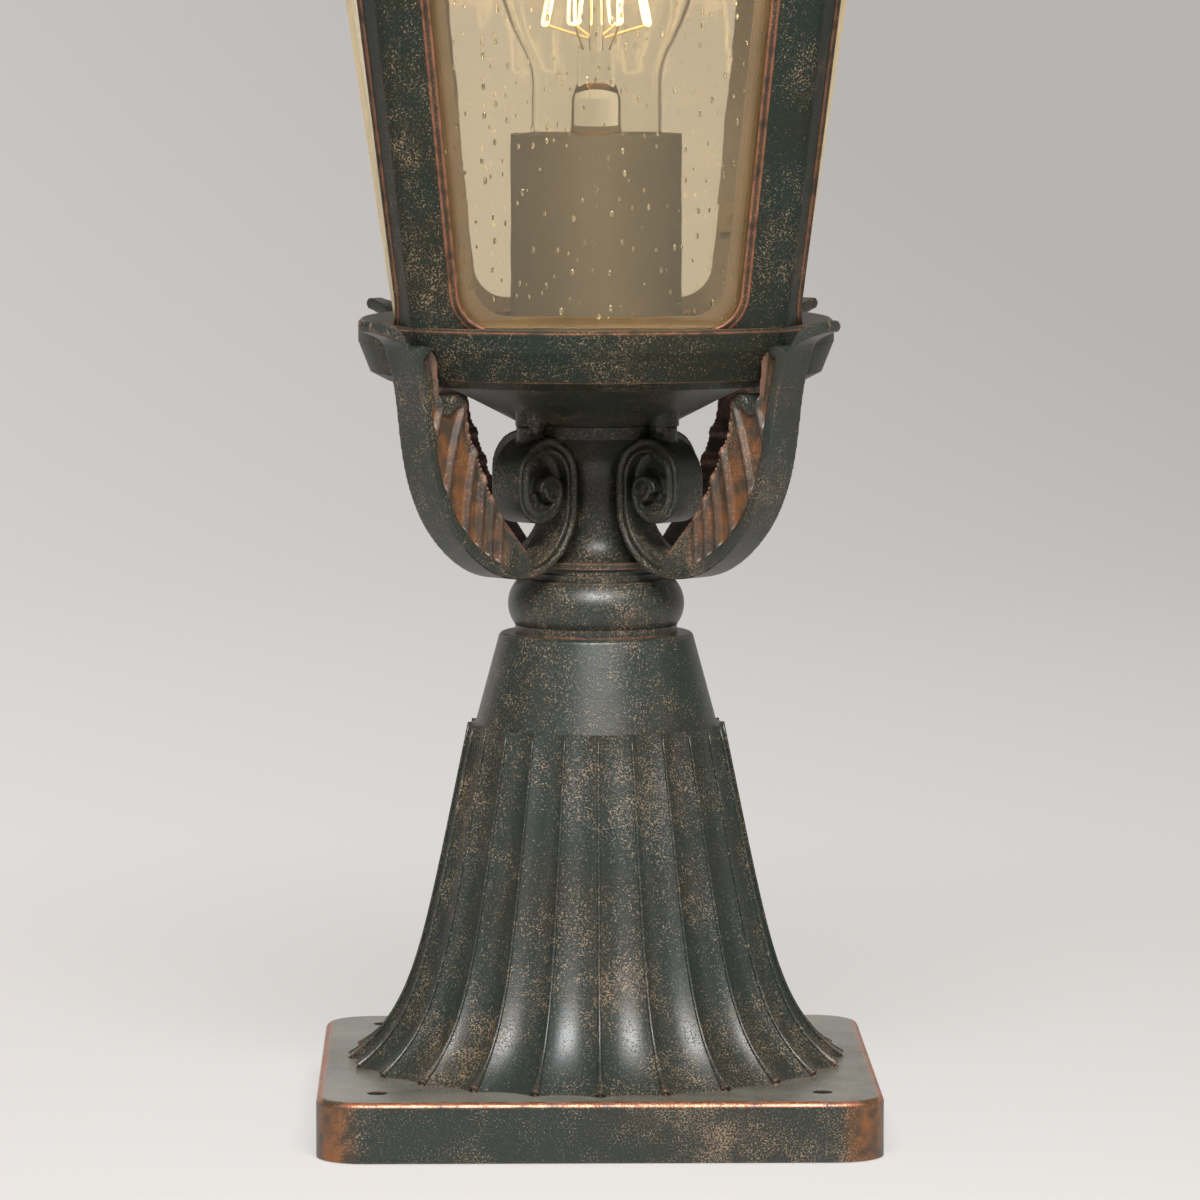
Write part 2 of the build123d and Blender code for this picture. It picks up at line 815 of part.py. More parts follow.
# Cage: rim with a ledge on the dish, bowed shell and four windows
with BuildPart() as cage:
    add(rim_block(0))
    loft([cage_section(height, 0, cage_corner_radius) for height in (sill - cage_root, cage_top)])
    loft(
        [cage_section(height, cage_wall, cage_inner_corner_radius) for height in (sill, cage_top)],
        mode=Mode.SUBTRACT,
    )
    with BuildSketch(Plane.XY.offset(dish_foot)):
        Circle(dish_flange_radius + rim_gap)
    extrude(amount=dish_flange_rise, mode=Mode.SUBTRACT)
    with BuildSketch(Plane.XY.offset(flange_top)):
        Circle(ledge_radius)
    extrude(amount=ledge_thickness, mode=Mode.SUBTRACT)
    with BuildSketch(Plane.XY.offset(plate_floor)):
        Circle(sill_inner_radius)
    extrude(amount=sill - plate_floor, mode=Mode.SUBTRACT)
    for angle in (side_angles["front"], side_angles["right"]):
        window = window_outline(angle, 0, sill, window_top, window_corner_radius)
        extrude(window, amount=plate_width, both=True, mode=Mode.SUBTRACT)
    with BuildSketch(Plane.XY.offset(flange_top)):
        with PolarLocations(cage_screw_circle, 4):
            Circle(cage_screw_radius + screw_gap)
    extrude(amount=ledge_thickness, mode=Mode.SUBTRACT)
    for angle in corner_angles.values():
        for height in clip_levels:
            hole = diagonal_disc(angle, 0, height, clip_screw_radius + screw_gap)
            depth = inner_corner(height) + clip_screw_bite + screw_gap
            extrude(hole, amount=depth, mode=Mode.SUBTRACT)
save(cage, "cage_frame")


def bowed_panel(angle, inset, thickness, grow, foot, top, corner):
    # A slice of the bowed cage wall, cut to the window's outline grown sideways
    with BuildPart() as panel:
        loft([cage_section(height, inset, cage_corner_radius) for height in (sill, cage_top)])
        loft(
            [cage_section(height, inset + thickness, cage_corner_radius) for height in (sill, cage_top)],
            mode=Mode.SUBTRACT,
        )
        extrude(window_outline(angle, grow, foot, top, corner), amount=plate_width, mode=Mode.INTERSECT)
    return panel.part


# Bowed panes against the cage's lip, with a retainer frame behind each
for side_name, side_angle in side_angles.items():
    with BuildPart() as pane:
        add(bowed_panel(
            side_angle, pane_inset, pane_thickness, pane_overlap, pane_foot, pane_top, pane_corner
        ))
    save(pane, f"glass_pane_{side_name}")
    with BuildPart() as retainer:
        add(bowed_panel(
            side_angle, retainer_inset, retainer_thickness, pane_overlap, pane_foot, pane_top, pane_corner
        ))
        opening = window_outline(
            side_angle, -retainer_show, sill + retainer_foot_show, window_top - retainer_show,
            window_corner_radius,
        )
        extrude(opening, amount=plate_width, mode=Mode.SUBTRACT)
    save(retainer, f"pane_retainer_{side_name}")

# Corner clips press two retainers each, held by screws on the diagonals
with BuildPart() as clips:
    for angle in corner_angles.values():
        for height in clip_levels:
            extrude(clip_profile(angle, height), amount=clip_width)
            hole = diagonal_disc(angle, 0, height, clip_screw_radius + screw_gap)
            extrude(hole, amount=plate_width, mode=Mode.SUBTRACT)
save(clips, "pane_clips")

with BuildPart() as clip_screws:
    for angle in corner_angles.values():
        for height in clip_levels:
            back = clip_seat(height) - clip_thickness
            reach = inner_corner(height) + clip_screw_bite - back
            extrude(diagonal_disc(angle, back, height, clip_screw_radius), amount=reach)
            extrude(diagonal_disc(angle, back, height, clip_head_radius), amount=-clip_head_height)
save(clip_screws, "clip_screws")

# Lantern floor plate, with holes for the tube, the leads and the screws
plate_radius = sill_inner_radius - lamp_plate_gap
lead_places = ((-lead_spacing / 2, block_middle), (lead_spacing / 2, block_middle))
block_screw_place = (0, block_middle)
with BuildPart() as lamp_plate:
    with BuildSketch(Plane.XY.offset(plate_floor)):
        Circle(plate_radius)
        Circle(tube_radius + tube_gap, mode=Mode.SUBTRACT)
        with PolarLocations(cage_screw_circle, 4):
            Circle(cage_screw_radius + screw_gap, mode=Mode.SUBTRACT)
        with Locations(*lead_places):
            Circle(lead_radius + lead_gap, mode=Mode.SUBTRACT)
        with Locations(block_screw_place, earth_screw_place):
            Circle(small_screw_radius + screw_gap, mode=Mode.SUBTRACT)
    extrude(amount=lamp_plate_thickness)
save(lamp_plate, "lamp_plate")

with BuildPart() as cage_screws:
    with BuildSketch(Plane.XY.offset(plate_top)):
        with PolarLocations(cage_screw_circle, 4):
            Circle(cage_head_radius)
    extrude(amount=cage_head_height)
    with BuildSketch(Plane.XY.offset(plate_top)):
        with PolarLocations(cage_screw_circle, 4):
            Circle(cage_screw_radius)
    extrude(amount=flange_top - plate_top - cage_screw_bite + screw_gap)
save(cage_screws, "cage_screws")

# Lampholder: nut, base, ceramic body, screw shell, contact tongue and the plain sleeve
with BuildPart() as lampholder_nut:
    low = hex_sketch(nut_across_flats, tube_radius + screw_gap, plate_top)
    extrude(low, amount=lampholder_nut_height)
save(lampholder_nut, "lampholder_nut")

with BuildPart() as lampholder_base:
    with BuildSketch(Plane.XY.offset(base_floor)):
        Circle(sleeve_radius)
        Circle(tube_radius + screw_gap, mode=Mode.SUBTRACT)
        with Locations(*lead_places):
            Circle(lead_radius + lead_gap, mode=Mode.SUBTRACT)
    extrude(amount=base_thickness)
save(lampholder_base, "lampholder_base")

with BuildPart() as lampholder_body:
    extrude(ring_sketch(body_radius, tube_radius + tube_gap, body_foot), amount=tube_grip)
    with BuildSketch(Plane.XY.offset(body_foot + tube_grip)):
        Circle(body_radius)
    extrude(amount=body_height - tube_grip)
    with BuildSketch(Plane.XY.offset(cavity_floor)):
        Circle(body_cavity_radius)
    extrude(amount=body_height, mode=Mode.SUBTRACT)
    with BuildSketch(Plane.XY.offset(body_foot)):
        with Locations(*lead_places):
            Circle(lead_radius + lead_gap)
    extrude(amount=lead_body_insert, mode=Mode.SUBTRACT)
save(lampholder_body, "lampholder_body")

with BuildPart() as lampholder_shell:
    extrude(ring_sketch(shell_radius, shell_radius - shell_wall, shell_foot), amount=shell_height)
save(lampholder_shell, "lampholder_shell")

with BuildPart() as tongue:
    tongue_top = cavity_floor + tongue_lift
    with BuildSketch(Plane.XZ):
        with BuildLine():
            Polyline(
                (-tongue_reach, cavity_floor), (-tongue_bend, cavity_floor), (-tongue_slope, tongue_top),
                (tongue_tip, tongue_top), (tongue_tip, tongue_top + tongue_thickness),
                (-tongue_slope - tongue_thickness / 2, tongue_top + tongue_thickness),
                (-tongue_bend - tongue_thickness / 2, cavity_floor + tongue_thickness),
                (-tongue_reach, cavity_floor + tongue_thickness), close=True,
            )
        make_face()
    extrude(amount=tongue_width / 2, both=True)
save(tongue, "lampholder_tongue")

with BuildPart() as sleeve:
    extrude(ring_sketch(sleeve_radius, sleeve_radius - sleeve_wall, body_foot), amount=sleeve_height)
save(sleeve, "lampholder_sleeve")

# Terminal block under the floor plate, its screws and the straight leads to the lampholder
block_foot = plate_floor - block_height


def terminal_plane(place):
    # Faces out of the block's back, at the middle of its height
    return Plane(
        origin=(place[0], place[1] + block_width / 2, block_foot + block_height / 2), z_dir=(0, 1, 0)
    )


with BuildPart() as block:
    with BuildSketch(Plane.XY.offset(block_foot)):
        with Locations((0, block_middle)):
            Rectangle(block_length, block_width)
        with Locations(block_screw_place):
            Circle(small_screw_radius + screw_gap, mode=Mode.SUBTRACT)
    extrude(amount=block_height)
    with BuildSketch(Plane.XY.offset(plate_floor)):
        with Locations(*lead_places):
            Circle(lead_radius + lead_gap)
    extrude(amount=-lead_insert, mode=Mode.SUBTRACT)
    for place in lead_places:
        with BuildSketch(terminal_plane(place)):
            Circle(terminal_screw_radius + screw_gap)
        extrude(amount=-terminal_screw_height, mode=Mode.SUBTRACT)
save(block, "terminal_block")

with BuildPart() as terminal_screws:
    for place in lead_places:
        with BuildSketch(terminal_plane(place)):
            Circle(terminal_screw_radius)
        extrude(amount=-terminal_screw_height)
save(terminal_screws, "terminal_screws")

with BuildPart() as block_screw:
    with BuildSketch(Plane.XY.offset(block_foot)):
        with Locations(block_screw_place):
            Circle(small_screw_radius)
    extrude(amount=plate_top - block_foot)
    with BuildSketch(Plane.XY.offset(plate_top)):
        with Locations(block_screw_place):
            Circle(small_head_radius)
    extrude(amount=small_head_height)
save(block_screw, "terminal_block_screw")

with BuildPart() as earth_screw:
    with BuildSketch(Plane.XY.offset(plate_top)):
        with Locations(earth_screw_place):
            Circle(small_head_radius)
    extrude(amount=small_head_height)
    with BuildSketch(Plane.XY.offset(plate_top)):
        with Locations(earth_screw_place):
            Circle(small_screw_radius)
    extrude(amount=-earth_screw_length)
save(earth_screw, "earth_screw")

for lead_name, lead_place in zip(("live", "neutral"), lead_places):
    with BuildPart() as lead:
        with BuildSketch(Plane.XY.offset(plate_floor - lead_insert)):
            with Locations(lead_place):
                Circle(lead_radius)
        extrude(amount=body_foot + lead_body_insert - plate_floor + lead_insert)
    save(lead, f"lead_{lead_name}")

# Bulb: contact, insulator, cap, glass, stem, wires and filament
with BuildPart() as contact:
    with BuildSketch(Plane.XY.offset(contact_foot)):
        Circle(contact_radius)
    extrude(amount=contact_height)
    fillet(contact.faces().sort_by(Axis.Z)[0].edges(), contact_round)
save(contact, "bulb_contact")

with BuildPart() as insulator:
    with BuildSketch(Plane.XZ):
        with BuildLine():
            Polyline(
                (0, insulator_foot), (contact_radius, insulator_foot), (insulator_top_radius, cap_foot),
                (0, cap_foot), close=True,
            )
        make_face()
    revolve(axis=Axis.Z)
save(insulator, "bulb_insulator")

with BuildPart() as cap:
    with BuildSketch(Plane.XZ):
        with BuildLine():
            Polyline(
                (0, cap_foot), (insulator_top_radius, cap_foot), (cap_radius, cap_foot + cap_chamfer),
                (cap_radius, bulb_foot), (cap_radius - cap_wall, bulb_foot),
                (cap_radius - cap_wall, cap_foot + cap_chamfer),
                (insulator_top_radius - cap_wall, cap_foot + cap_wall), (0, cap_foot + cap_wall), close=True,
            )
        make_face()
    revolve(axis=Axis.Z)
save(cap, "bulb_cap")

# The bulb's outline is a straight neck, a flare that curls outwards, a long belly and a round crown
flare_turn = radians(bulb_flare_angle)
flare_spread = 1 - cos(flare_turn)
belly_radius = (bulb_radius - bulb_neck_radius) / flare_spread - bulb_flare_radius
neck_foot_level = bulb_foot + bulb_neck_foot_rise
neck_level = bulb_foot + bulb_neck_rise
belly_level = neck_level + (bulb_flare_radius + belly_radius) * sin(flare_turn)


def bulb_outline(inset):
    neck_radius = bulb_neck_radius - inset
    curl = bulb_flare_radius + inset
    turn_over = (neck_radius + curl * flare_spread, neck_level + curl * sin(flare_turn))
    widest = bulb_radius - inset
    TangentArc((neck_radius, neck_foot_level), (cap_radius - inset, bulb_foot), tangent=(0, -1))
    Line((neck_radius, neck_foot_level), (neck_radius, neck_level))
    flare = TangentArc((neck_radius, neck_level), turn_over, tangent=(0, 1))
    TangentArc(turn_over, (widest, belly_level), tangent=flare % 1)
    TangentArc((widest, belly_level), (0, belly_level + widest), tangent=(0, 1))


with BuildPart() as glass:
    with BuildSketch(Plane.XZ):
        with BuildLine():
            bulb_outline(0)
            bulb_outline(bulb_glass_wall)
            Line((cap_radius - bulb_glass_wall, bulb_foot), (cap_radius, bulb_foot))
            Line((0, belly_level + bulb_radius - bulb_glass_wall), (0, belly_level + bulb_radius))
        make_face()
    revolve(axis=Axis.Z)
save(glass, "bulb_glass")

stem_foot = bulb_foot + stem_foot_height
stem_shoulder = bulb_foot + stem_tube_rise
stem_press = bulb_foot + stem_press_rise
stem_press_top = bulb_foot + stem_press_top_rise
stem_top = bulb_foot + stem_top_rise
with BuildSketch(Plane.XY.offset(stem_shoulder)) as tube_end:
    Circle(stem_tube_radius)
with BuildSketch(Plane.XY.offset(stem_press)) as press_foot:
    RectangleRounded(stem_press_width, stem_press_thickness, stem_press_corner)
with BuildSketch(Plane.XY.offset(stem_press_top)) as rod_foot:
    Circle(stem_rod_radius)
with BuildPart() as stem:
    with BuildSketch(Plane.XZ):
        with BuildLine():
            Line((0, bulb_foot), (stem_foot_radius, bulb_foot))
            Line((stem_foot_radius, bulb_foot), (stem_foot_radius, stem_foot))
            Spline(
                (stem_foot_radius, stem_foot), (stem_tube_radius, stem_foot + stem_foot_radius / 2),
                tangents=((-1, 0.2), (0, 1)),
            )
            Polyline(
                (stem_tube_radius, stem_foot + stem_foot_radius / 2), (stem_tube_radius, stem_shoulder),
                (0, stem_shoulder), (0, bulb_foot),
            )
        make_face()
    revolve(axis=Axis.Z)
    loft([tube_end.sketch, press_foot.sketch])
    extrude(press_foot.sketch, amount=stem_press_top - stem_press)
    extrude(rod_foot.sketch, amount=stem_top - stem_press_top)
    with Locations((0, 0, stem_top)):
        Sphere(stem_bead_radius)
save(stem, "bulb_stem")

hook_step = 360 / filament_low_hooks
low_level = bulb_foot + filament_low_rise
high_level = bulb_foot + filament_high_rise
low_hooks = [
    (*polar(filament_low_radius, (hook + 0.5) * hook_step - 90), low_level)
    for hook in range(filament_low_hooks)
]
high_hooks = [
    (*polar(filament_high_radius, (hook + 1) * hook_step - 90), high_level)
    for hook in range(filament_low_hooks - 1)
]


def wire_disc(start, end, radius):
    with BuildSketch(Plane(origin=start, z_dir=Vector(*end) - Vector(*start))) as disc:
        Circle(radius)
    return disc.sketch


def wire_length(start, end):
    return (Vector(*end) - Vector(*start)).length


def moved(point, start, end, distance):
    # The point, pushed on from its place along the line from start to end
    along = (Vector(*end) - Vector(*start)).normalized()
    return tuple(Vector(*point) + along * distance)


def hook_ends(hook):
    # The filament lies square across a hook's end, over the hook's width
    reach = hypot(hook[0], hook[1])
    across = Vector(-hook[1] / reach, hook[0] / reach, 0) * (hook_width / 2)
    return [tuple(Vector(*hook) - across), tuple(Vector(*hook) + across)]


zigzag = [low_hooks[0]]
for high, low in zip(high_hooks, low_hooks[1:-1]):
    zigzag += hook_ends(high) + hook_ends(low)
zigzag += hook_ends(high_hooks[-1]) + [low_hooks[-1]]
with BuildPart() as filament:
    with BuildLine() as filament_path:
        FilletPolyline(*zigzag, radius=filament_bend)
    with BuildSketch(Plane(origin=zigzag[0], z_dir=filament_path.line % 0)):
        Circle(filament_radius)
    sweep(path=filament_path.line)
save(filament, "bulb_filament")

hook_clear = filament_radius + wire_gap
rod_clear = stem_rod_radius + wire_radius + wire_gap
support_pairs = [((0, 0, low_level - support_hub_drop), hook) for hook in low_hooks[1:-1]]
support_pairs += [((0, 0, high_level - support_hub_drop), hook) for hook in high_hooks]
with BuildPart() as supports:
    for hub, hook in support_pairs:
        start = moved(hub, hub, hook, rod_clear * wire_length(hub, hook) / hypot(hook[0], hook[1]))
        end = moved(hook, hook, hub, hook_clear)
        extrude(wire_disc(start, end, wire_radius), amount=wire_length(start, end))
save(supports, "filament_supports")

with BuildPart() as bulb_leads:
    for hook in (low_hooks[0], low_hooks[-1]):
        foot = (copysign(lead_in_radius, hook[0]), 0, stem_press_top + wire_radius + wire_gap)
        end = moved(hook, hook, foot, hook_clear)
        extrude(wire_disc(foot, end, wire_radius), amount=wire_length(foot, end))
save(bulb_leads, "bulb_leads")

# Roof: bell-shaped shell on the cage's top edge, with a skirt round the outside
skirt_inner = cage_top_half + skirt_gap
skirt_outer = skirt_inner + skirt_wall
skirt_foot = eave - skirt_drop
thumb_height = eave - skirt_drop / 2
cavity_levels = [(0, roof_seat_half, cage_inner_corner_radius)]
cavity_levels += [(rise, half - roof_wall, corner) for rise, half, corner in roof_levels[2:-1]]
cavity_levels += [
    (roof_levels[-1][0] - roof_top_wall, roof_levels[-1][1] - roof_wall, roof_levels[-1][2] - roof_wall)
]


def roof_section(rise, half, corner):
    return bowed_square(eave + rise, half, half * roof_bow_share, corner)


with BuildPart() as roof:
    loft([roof_section(*level) for level in roof_levels])
    extrude(
        bowed_square(skirt_foot, skirt_outer, cage_bow_radius, cage_corner_radius + skirt_wall),
        amount=skirt_drop,
    )
    extrude(
        bowed_square(skirt_foot, skirt_inner, cage_bow_radius, cage_corner_radius), amount=skirt_drop,
        mode=Mode.SUBTRACT,
    )
    loft([roof_section(*level) for level in cavity_levels], mode=Mode.SUBTRACT)
    with BuildSketch(Plane.XY.offset(roof_top - roof_top_wall)):
        Circle(stud_radius + tube_gap)
    extrude(amount=roof_top_wall, mode=Mode.SUBTRACT)
    with BuildSketch(Plane.YZ):
        with Locations((0, thumb_height)):
            Circle(thumb_radius + thumb_running_gap)
    extrude(amount=plate_width, both=True, mode=Mode.SUBTRACT)
save(roof, "roof_casting")

# Turned finial on a stud through the roof, with a nut and washer inside
with BuildPart() as finial:
    with BuildSketch(Plane.XZ):
        with BuildLine():
            Polyline(
                (0, roof_top), (finial_foot_radius, roof_top),
                (finial_foot_radius, roof_top + finial_foot_height),
                (finial_foot_radius - finial_step, roof_top + finial_foot_height),
            )
            Spline(
                (finial_foot_radius - finial_step, roof_top + finial_foot_height),
                (finial_cove_radius, roof_top + finial_cove_rise), tangents=((-1, 0.3), (0, 1)),
            )
            ThreePointArc(
                (finial_cove_radius, roof_top + finial_cove_rise),
                (finial_ball_radius, roof_top + finial_ball_rise),
                (finial_neck_radius, roof_top + finial_neck_rise),
            )
            Spline(
                (finial_neck_radius, roof_top + finial_neck_rise),
                (finial_bud_radius, roof_top + finial_bud_rise),
                (finial_point_radius, roof_top + finial_height),
            )
            Polyline(
                (finial_point_radius, roof_top + finial_height), (0, roof_top + finial_height), (0, roof_top)
            )
        make_face()
    revolve(axis=Axis.Z)
    with BuildSketch(Plane.XY.offset(roof_top)):
        Circle(stud_radius + stud_gap)
    extrude(amount=stud_above, mode=Mode.SUBTRACT)
save(finial, "finial")

washer_under = roof_top - roof_top_wall - finial_washer_thickness
with BuildPart() as stud:
    with BuildSketch(Plane.XY.offset(roof_top - stud_below)):
        Circle(stud_radius)
    extrude(amount=stud_below + stud_above - stud_gap)
save(stud, "finial_stud")

with BuildPart() as finial_washer:
    low = ring_sketch(finial_washer_radius, stud_radius + tube_gap, washer_under)
    extrude(low, amount=finial_washer_thickness)
save(finial_washer, "finial_washer")

with BuildPart() as finial_nut:
    low = hex_sketch(finial_nut_across_flats, stud_radius + stud_gap, washer_under - finial_nut_height)
    extrude(low, amount=finial_nut_height)
save(finial_nut, "finial_nut")

# Thumbscrews through the skirt, on the left and right sides, backed off clear of the cage's top edge
thumb_tip = cage_top_half + thumb_tip_gap
thumb_head = skirt_outer + thumb_head_gap
for side_name in ("left", "right"):
    thumb_axis = side_plane(side_angles[side_name], thumb_height)
    with BuildPart() as thumbscrew:
        with BuildSketch(thumb_axis.offset(thumb_tip)):
            Circle(thumb_radius)
        extrude(amount=thumb_head - thumb_tip)
        with BuildSketch(thumb_axis.offset(thumb_head)):
            Circle(thumb_head_radius)
            with PolarLocations(thumb_head_radius, thumb_knurls):
                Circle(thumb_knurl_radius, mode=Mode.SUBTRACT)
        extrude(amount=thumb_head_length)
    save(thumbscrew, f"thumbscrew_{side_name}")
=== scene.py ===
"""Dresses a cast pedestal lantern: rubbed bronze, carved brackets, seeded glass, a lit bulb and a studio."""

import math

import bpy
from bpy.props import FloatProperty, FloatVectorProperty, PointerProperty
from bpy.types import NodeSocket, Operator, Panel, PropertyGroup
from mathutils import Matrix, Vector
from mathutils.kdtree import KDTree


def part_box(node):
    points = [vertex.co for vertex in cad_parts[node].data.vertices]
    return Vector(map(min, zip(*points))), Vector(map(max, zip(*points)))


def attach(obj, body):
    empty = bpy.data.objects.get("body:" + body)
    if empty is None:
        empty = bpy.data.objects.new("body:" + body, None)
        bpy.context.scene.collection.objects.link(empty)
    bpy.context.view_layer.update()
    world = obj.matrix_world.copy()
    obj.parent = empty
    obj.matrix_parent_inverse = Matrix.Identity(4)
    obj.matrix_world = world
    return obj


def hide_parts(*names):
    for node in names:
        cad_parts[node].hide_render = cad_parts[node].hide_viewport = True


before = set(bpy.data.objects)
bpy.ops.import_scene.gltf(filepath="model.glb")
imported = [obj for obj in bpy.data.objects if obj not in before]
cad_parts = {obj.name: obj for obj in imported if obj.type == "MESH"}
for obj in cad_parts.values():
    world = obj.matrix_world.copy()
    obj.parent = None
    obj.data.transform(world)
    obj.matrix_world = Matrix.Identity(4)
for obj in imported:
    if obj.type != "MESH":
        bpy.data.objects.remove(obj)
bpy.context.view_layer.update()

bl_info = {
    "name": "Pedestal lantern",
    "version": (1, 0, 0),
    "blender": (4, 5, 0),
    "location": "View3D > Sidebar > Lantern",
    "description": "Gives a cast pedestal lantern its finish, carving, glass and light",
    "category": "Add Mesh",
}

MM = 0.001
# Points nearer than this are one point
SEAM = 0.001 * MM
# Directions from the axis, in degrees from +X
SIDES = {"front": -90.0, "right": 0.0, "back": 90.0, "left": 180.0}
CORNERS = {"front_left": 225.0, "front_right": 315.0, "back_right": 45.0, "back_left": 135.0}

# The stand was rubbed to a satin, and the cage above it was left matt: names and specular levels
SATIN_BRONZE, SATIN_GLOSS = "satin_bronze_patina", 0.5
MATT_BRONZE, MATT_GLOSS = "matt_bronze_patina", 0.04
# How much copper the rubbing leaves on edges at each height above the floor, in millimetres
RUBBED_HEIGHTS = (
    (0, 0.1), (12, 0.1), (14, 0.7), (16, 0.7), (18, 0.0), (119, 0.0), (121, 0.8), (127, 0.8),
    (129, 0.2), (135, 0.5), (142, 0.5), (146, 0.05), (184, 0.05), (187, 0.8), (190.5, 0.8), (192, 0.0),
    (201, 0.0), (202.6, 1.0), (204, 1.0), (205.5, 0.0), (338, 0.0), (345, 0.5), (480, 0.5),
)
# The height at the end of the ramp that holds those shares
RAMP_HEIGHT = 500
# The base plate's wear, as spans in millimetres up from its top and out from its sides
STAIN_HEIGHTS, STAIN_REACHES = (0.5, -2.0), (-12.0, -4.0)
RIM_HEIGHTS, RIM_REACHES = (-1.4, -0.8), (-2.1, -1.4)
# How far above its nominal height the plate's top still counts as the plate, in millimetres
TOP_ALLOWANCE = 0.4

# Veins of a leaf, each by where it would cross the leaf's foot, in millimetres from the axis
VEINS = (38.8, 42.3, 46.0, 50.8, 58.4, 66.1, 71.5)
# A vein's slope, in its own half widths
VEIN_SLOPE = (0.35, 1.9)
# Spans in millimetres from the axis over which a bracket's carving eases in
SCROLL, LEAF, TEETH = (38, 33), (33, 37), (39, 43)
TIP_TAPER, PLAIN_TIP, UNRUBBED_TIP = (64, 82), (75, 70), (78, 70)
# The leaf's inner end leans with its height above this level, in millimetres
LEAF_LEVEL, LEAF_LEAN = 150, 0.3
# Spans in millimetres from the outline, and then from the leaf's back
SCROLL_DISH, LIP, TOOTH, STAIN_INSIDE = (0.7, 1.7), (1.1, 0.3), (1.6, 0.2), (0.6, 3.2)
LEAF_FRONT, BAND_EDGE = (2.5, 5.0), 1.2
# How square to the side a point faces where the carving starts and where it is full
SIDE_FACE = (0.6, 0.9)
# Share of its thickness that a leaf's tip loses, and shares of copper and stain on the leaf
TIP_LOSS, LIP_RUB, VEIN_RUB, LEAF_STAIN = 0.62, 0.25, 0.12, 0.62
# Where a tooth changes from a bump to a notch, as a share of a hollow's depth
TOOTH_TURN = 0.6

FLUTES = 24
ARRIS_POINTS = 24
# The lip round a window: shares of its width and height, and its copper, from the glass outwards
LIP_PROFILE = (
    (0.0, -0.5, 0.2), (0.02, 0.35, 0.55), (0.16, 0.85, 0.45), (0.32, 1.0, 0.1), (0.5, 0.8, 0.08),
    (0.64, 0.35, 0.2), (0.78, 0.3, 0.5), (0.92, 0.25, 0.35), (1.0, -0.5, 0.0), (0.0, -0.5, 0.2),
)
CORNER_STEPS = 14
# How far a lip turns under at the sill, in degrees
SILL_TURN = 80

# Refraction set lower than solid glass has, so that thin walls don't go dark at their edges
BLOWN_BENDING, PRESSED_BENDING = 1.14, 1.3
BULB_WATTS = 0.1
# Each softbox has a place, an aim, a width and a height in metres, and watts
SOFTBOXES = {
    "key_softbox": ((0.05, -1.2, 1.25), (0, 0, 0.12), 1.0, 0.46, 50),
    "left_fill": ((-1.6, -0.9, 0.7), (0, 0, 0.2), 0.6, 1.2, 2),
    "right_fill": ((1.7, -0.7, 0.8), (0, 0, 0.2), 0.6, 1.2, 2),
}
AIR_STRENGTH = 0.32

# Width of the mottling on an even coat, in grains of its orange-peel
MOTTLE_WIDTH = 9


def linear(text):
    """An sRGB hex colour as linear red, green, blue and alpha."""
    parts = [int(text[i:i + 2], 16) / 255 for i in (1, 3, 5)]
    return [c / 12.92 if c <= 0.04045 else ((c + 0.055) / 1.055) ** 2.4 for c in parts] + [1.0]


def per_mm(size):
    """The scale of a pattern whose features are this many millimetres across."""
    return 1 / (size * MM)


def hue(text, name, description):
    """A colour that a user can change."""
    return FloatVectorProperty(
        name=name, description=description, subtype="COLOR", size=4, min=0, max=1, default=linear(text),
    )


def length(size, name, description):
    """A length that a user can change, given in millimetres."""
    return FloatProperty(name=name, description=description, unit="LENGTH", default=size * MM)


def ratio(share, name, description):
    """A slope or a share that a user can change."""
    return FloatProperty(name=name, description=description, default=share)


class LanternColours(PropertyGroup):
    """Colours of the lantern's finishes."""
    patina: hue("#212925", "Patina", "Green-black ground of the bronze finish")
    patina_warm: hue("#252720", "Warm patina", "Brown-black clouds in the ground")
    fleck_dark: hue("#4f4031", "Dark fleck", "Browner flecks rubbed through the patina")
    fleck_light: hue("#937b60", "Light fleck", "Paler flecks rubbed through the patina")
    copper: hue("#b4775a", "Rubbed copper", "Metal that shows along rubbed edges")
    stain: hue("#7a4a22", "Stain", "Orange-brown glaze in grooves and on plate corners")
    # Partly dust, partly painted sheen: lighter than dust, for the pale backdrop the plate's top reflects
    dust_and_sheen: hue("#77746a", "Film", "Dusty film on the plate's upper face")
    amber: hue("#fef5e3", "Amber glass", "Tint of one pane")
    amber_body: hue("#efe0b2", "Amber depth", "Colour of the glass seen along its sheet")
    clear: hue("#fdfdfa", "Clear glass", "Tint of the bulb's glass")
    retainer: hue("#46351f", "Retainer", "Paint of the frames behind the panes")
    sleeve: hue("#2a2214", "Sleeve", "Paint of the lampholder sleeve")
    floor_paint: hue("#9d8f74", "Floor", "Paint of the lantern's floor plate")
    browned: hue("#6b5a45", "Browned steel", "Clips behind the panes")
    zinc: hue("#b9b8b2", "Zinc", "Plated screws, nuts and washers")
    brass: hue("#c9a14e", "Brass", "Bulb cap and contacts")
    porcelain: hue("#ece8dd", "Porcelain", "Lampholder body")
    insulator: hue("#14120f", "Insulator", "Glass under the bulb cap")
    terminal: hue("#dcd8cd", "Terminal", "Terminal block")
    wire: hue("#4a3020", "Wire", "Insulation of the leads")
    wire_bright: hue("#b9a47c", "Bulb wire", "Nickel supports in the bulb")
    glow: hue("#ffe2ae", "Glow", "Light of the filament")
    floor: hue("#d3cfcc", "Studio floor", "Paper that the lantern stands on")
    # The backdrop's glow runs from the low colour to the high one, as painted shade
    wall_low: hue("#e4e0dd", "Studio wall, low", "Backdrop near the floor")
    wall_high: hue("#b8b4b1", "Studio wall, high", "Backdrop at the top of the picture")
    air: hue("#c9c6c3", "Studio air", "Even light from all round")


